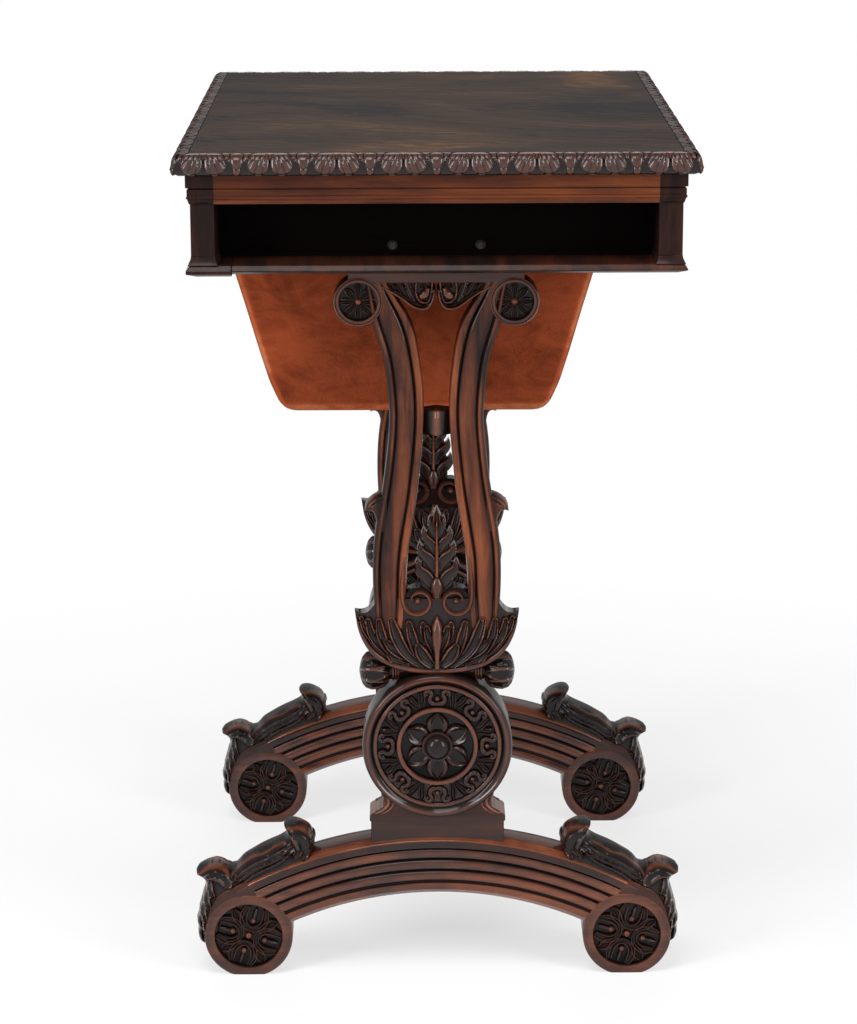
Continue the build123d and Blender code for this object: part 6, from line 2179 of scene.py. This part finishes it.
# =====================================================================================
# Stage
# =====================================================================================
LAMPS = (
    # name, place, size, setting of its power, share of that power
    ("left softbox", (-2.1, -1.9, 1.6), (0.8, 1.8), "key", 1.0),
    ("right softbox", (2.1, -1.7, 1.5), (0.8, 1.8), "key", 0.8),
    ("top softbox", (-0.3, -1.1, 2.5), (1.1, 1.1), "top", 1.0),
    ("back softbox", (0, 2.6, 1.2), (2.6, 1.6), "top", 0.6),
)
LAMP_AIM = (0, 0, 0.4)
CAMERA_X = -0.0208
CAMERA_YAW = 0.0052
CAMERA_ROLL = -0.003
SENSOR_MM = 36.0
FLOOR_HALF = 14.0
SURROUND_AS_LAMP = 0.30


def area_lamp(name, place, aim, size, power):
    """Soft rectangular lamp that points at a place."""
    data = bpy.data.lights.new(name, "AREA")
    data.shape, data.size, data.size_y, data.energy = "RECTANGLE", *size, power
    lamp = bpy.data.objects.new(name, data)
    lamp.location = place
    lamp.rotation_euler = (Vector(aim) - Vector(place)).to_track_quat("-Z", "Y").to_euler()
    bpy.context.scene.collection.objects.link(lamp)


def pale_surround(tree, colour, seen, unseen):
    """Surround that is pale to the eye and in reflections, and dimmer as a lamp."""
    tree.nodes.clear()
    new = tree.nodes.new
    path, seen_by, either = new("ShaderNodeLightPath"), new("ShaderNodeMath"), new("ShaderNodeMath")
    bright, dim = new("ShaderNodeBackground"), new("ShaderNodeBackground")
    mix, out = new("ShaderNodeMixShader"), new("ShaderNodeOutputWorld")
    seen_by.operation = either.operation = "MAXIMUM"
    for background, strength in ((bright, seen), (dim, unseen)):
        background.inputs["Color"].default_value = colour
        background.inputs["Strength"].default_value = strength
    links = (
        (path, "Is Camera Ray", seen_by, 0),
        (path, "Is Glossy Ray", seen_by, 1),
        (seen_by, 0, either, 0),
        (path, "Is Transmission Ray", either, 1),
        (either, 0, mix, 0),
        (dim, 0, mix, 1),
        (bright, 0, mix, 2),
        (mix, 0, out, "Surface"),
    )
    connect(tree, links)


def floor_material():
    """Pale floor that stays nearly white to the eye and keeps the table's shadow."""
    shader = Shader("pale floor")
    path = shader.node("ShaderNodeLightPath", output="Is Camera Ray")
    gloss = shader.node("ShaderNodeLightPath", output="Is Glossy Ray")
    seen = (path + gloss).clamped()
    at = shader.node("ShaderNodeTexCoord", output="Object")
    away = shader.node("ShaderNodeVectorMath", {"operation": "LENGTH"}, {0: at}, "Value")
    glow_share = (away * 0.9 - 0.02).clamped()
    paint = shader.node("ShaderNodeBsdfDiffuse", None, {"Color": (0.86, 0.86, 0.86, 1)})
    glow = shader.node("ShaderNodeEmission", None, {"Color": (1, 1, 1, 1), "Strength": 1.0})
    inputs = {0: seen * (0.55 + 0.45 * glow_share), 1: paint, 2: glow}
    shader.node_output(shader.node("ShaderNodeMixShader", None, inputs))
    return shader.material


class WORKTABLE_OT_stage(bpy.types.Operator):
    """Set up the floor, the lamps and the camera."""

    bl_idname = "worktable.stage"
    bl_label = "Stage"

    def execute(self, context):
        scene = context.scene
        stage = scene.work_table_stage
        scene.view_settings.view_transform = "Standard"
        scene.world = scene.world or bpy.data.worlds.new("surround")
        scene.world.use_nodes = True
        pale_surround(scene.world.node_tree, (1, 1, 1, 1), seen=1.0, unseen=SURROUND_AS_LAMP)
        mesh = bpy.data.meshes.new("floor")
        signs = ((-1, -1), (1, -1), (1, 1), (-1, 1))
        corners = [(FLOOR_HALF * x, FLOOR_HALF * y, 0) for x, y in signs]
        mesh.from_pydata(corners, [], [(0, 1, 2, 3)])
        mesh.materials.append(floor_material())
        floor = bpy.data.objects.new("floor", mesh)
        scene.collection.objects.link(floor)
        for name, place, size, setting, share in LAMPS:
            area_lamp(name, place, LAMP_AIM, size, getattr(stage, setting) * share)
        data = bpy.data.cameras.new("camera")
        data.sensor_fit, data.sensor_width, data.lens = "AUTO", SENSOR_MM, stage.lens
        data.clip_start, data.clip_end = 0.05, 60.0
        camera = bpy.data.objects.new("camera", data)
        scene.collection.objects.link(camera)
        place = Matrix.Translation((CAMERA_X, -stage.distance, stage.height))
        pitch = Matrix.Rotation(math.pi / 2 - stage.pitch, 4, "X")
        turn = Matrix.Rotation(-CAMERA_YAW, 4, "Z") @ pitch
        camera.matrix_world = place @ turn @ Matrix.Rotation(CAMERA_ROLL, 4, "Z")
        scene.camera = camera
        return {"FINISHED"}


OPERATORS = (
    WORKTABLE_OT_stage,
    WORKTABLE_OT_case,
    WORKTABLE_OT_lid_edge,
    WORKTABLE_OT_capitals,
    WORKTABLE_OT_arms,
    WORKTABLE_OT_palmettes,
    WORKTABLE_OT_tie_blocks,
    WORKTABLE_OT_calyxes,
    WORKTABLE_OT_spindles,
    WORKTABLE_OT_roundels,
    WORKTABLE_OT_stretcher,
    WORKTABLE_OT_pedestals,
    WORKTABLE_OT_feet,
    WORKTABLE_OT_foot_leaves,
    WORKTABLE_OT_work_box,
    WORKTABLE_OT_tray,
    WORKTABLE_OT_hardware,
)


class WORKTABLE_PT_panel(bpy.types.Panel):
    """Lists the steps that dress the table."""

    bl_idname = "WORKTABLE_PT_panel"
    bl_label = "Work table"
    bl_space_type = "VIEW_3D"
    bl_region_type = "UI"
    bl_category = "Work table"

    def draw(self, context):
        for name, group in SETTINGS:
            for key in group.__annotations__:
                self.layout.prop(getattr(context.scene, name), key)
        for operator in OPERATORS:
            self.layout.operator(operator.bl_idname)


SETTINGS = (
    ("work_table_timber", WorkTableTimber),
    ("work_table_cloth", WorkTableCloth),
    ("work_table_carving", WorkTableCarving),
    ("work_table_stage", WorkTableStage),
)


def register():
    for name, group in SETTINGS:
        bpy.utils.register_class(group)
        setattr(bpy.types.Scene, name, PointerProperty(type=group))
    for cls in (*OPERATORS, WORKTABLE_PT_panel):
        bpy.utils.register_class(cls)


def unregister():
    for cls in (WORKTABLE_PT_panel, *reversed(OPERATORS)):
        bpy.utils.unregister_class(cls)
    for name, group in reversed(SETTINGS):
        delattr(bpy.types.Scene, name)
        bpy.utils.unregister_class(group)


def main():
    """Dress the whole table."""
    register()
    for operator in OPERATORS:
        group, name = operator.bl_idname.split(".")
        getattr(getattr(bpy.ops, group), name)()


if __name__ == "__main__":
    main()
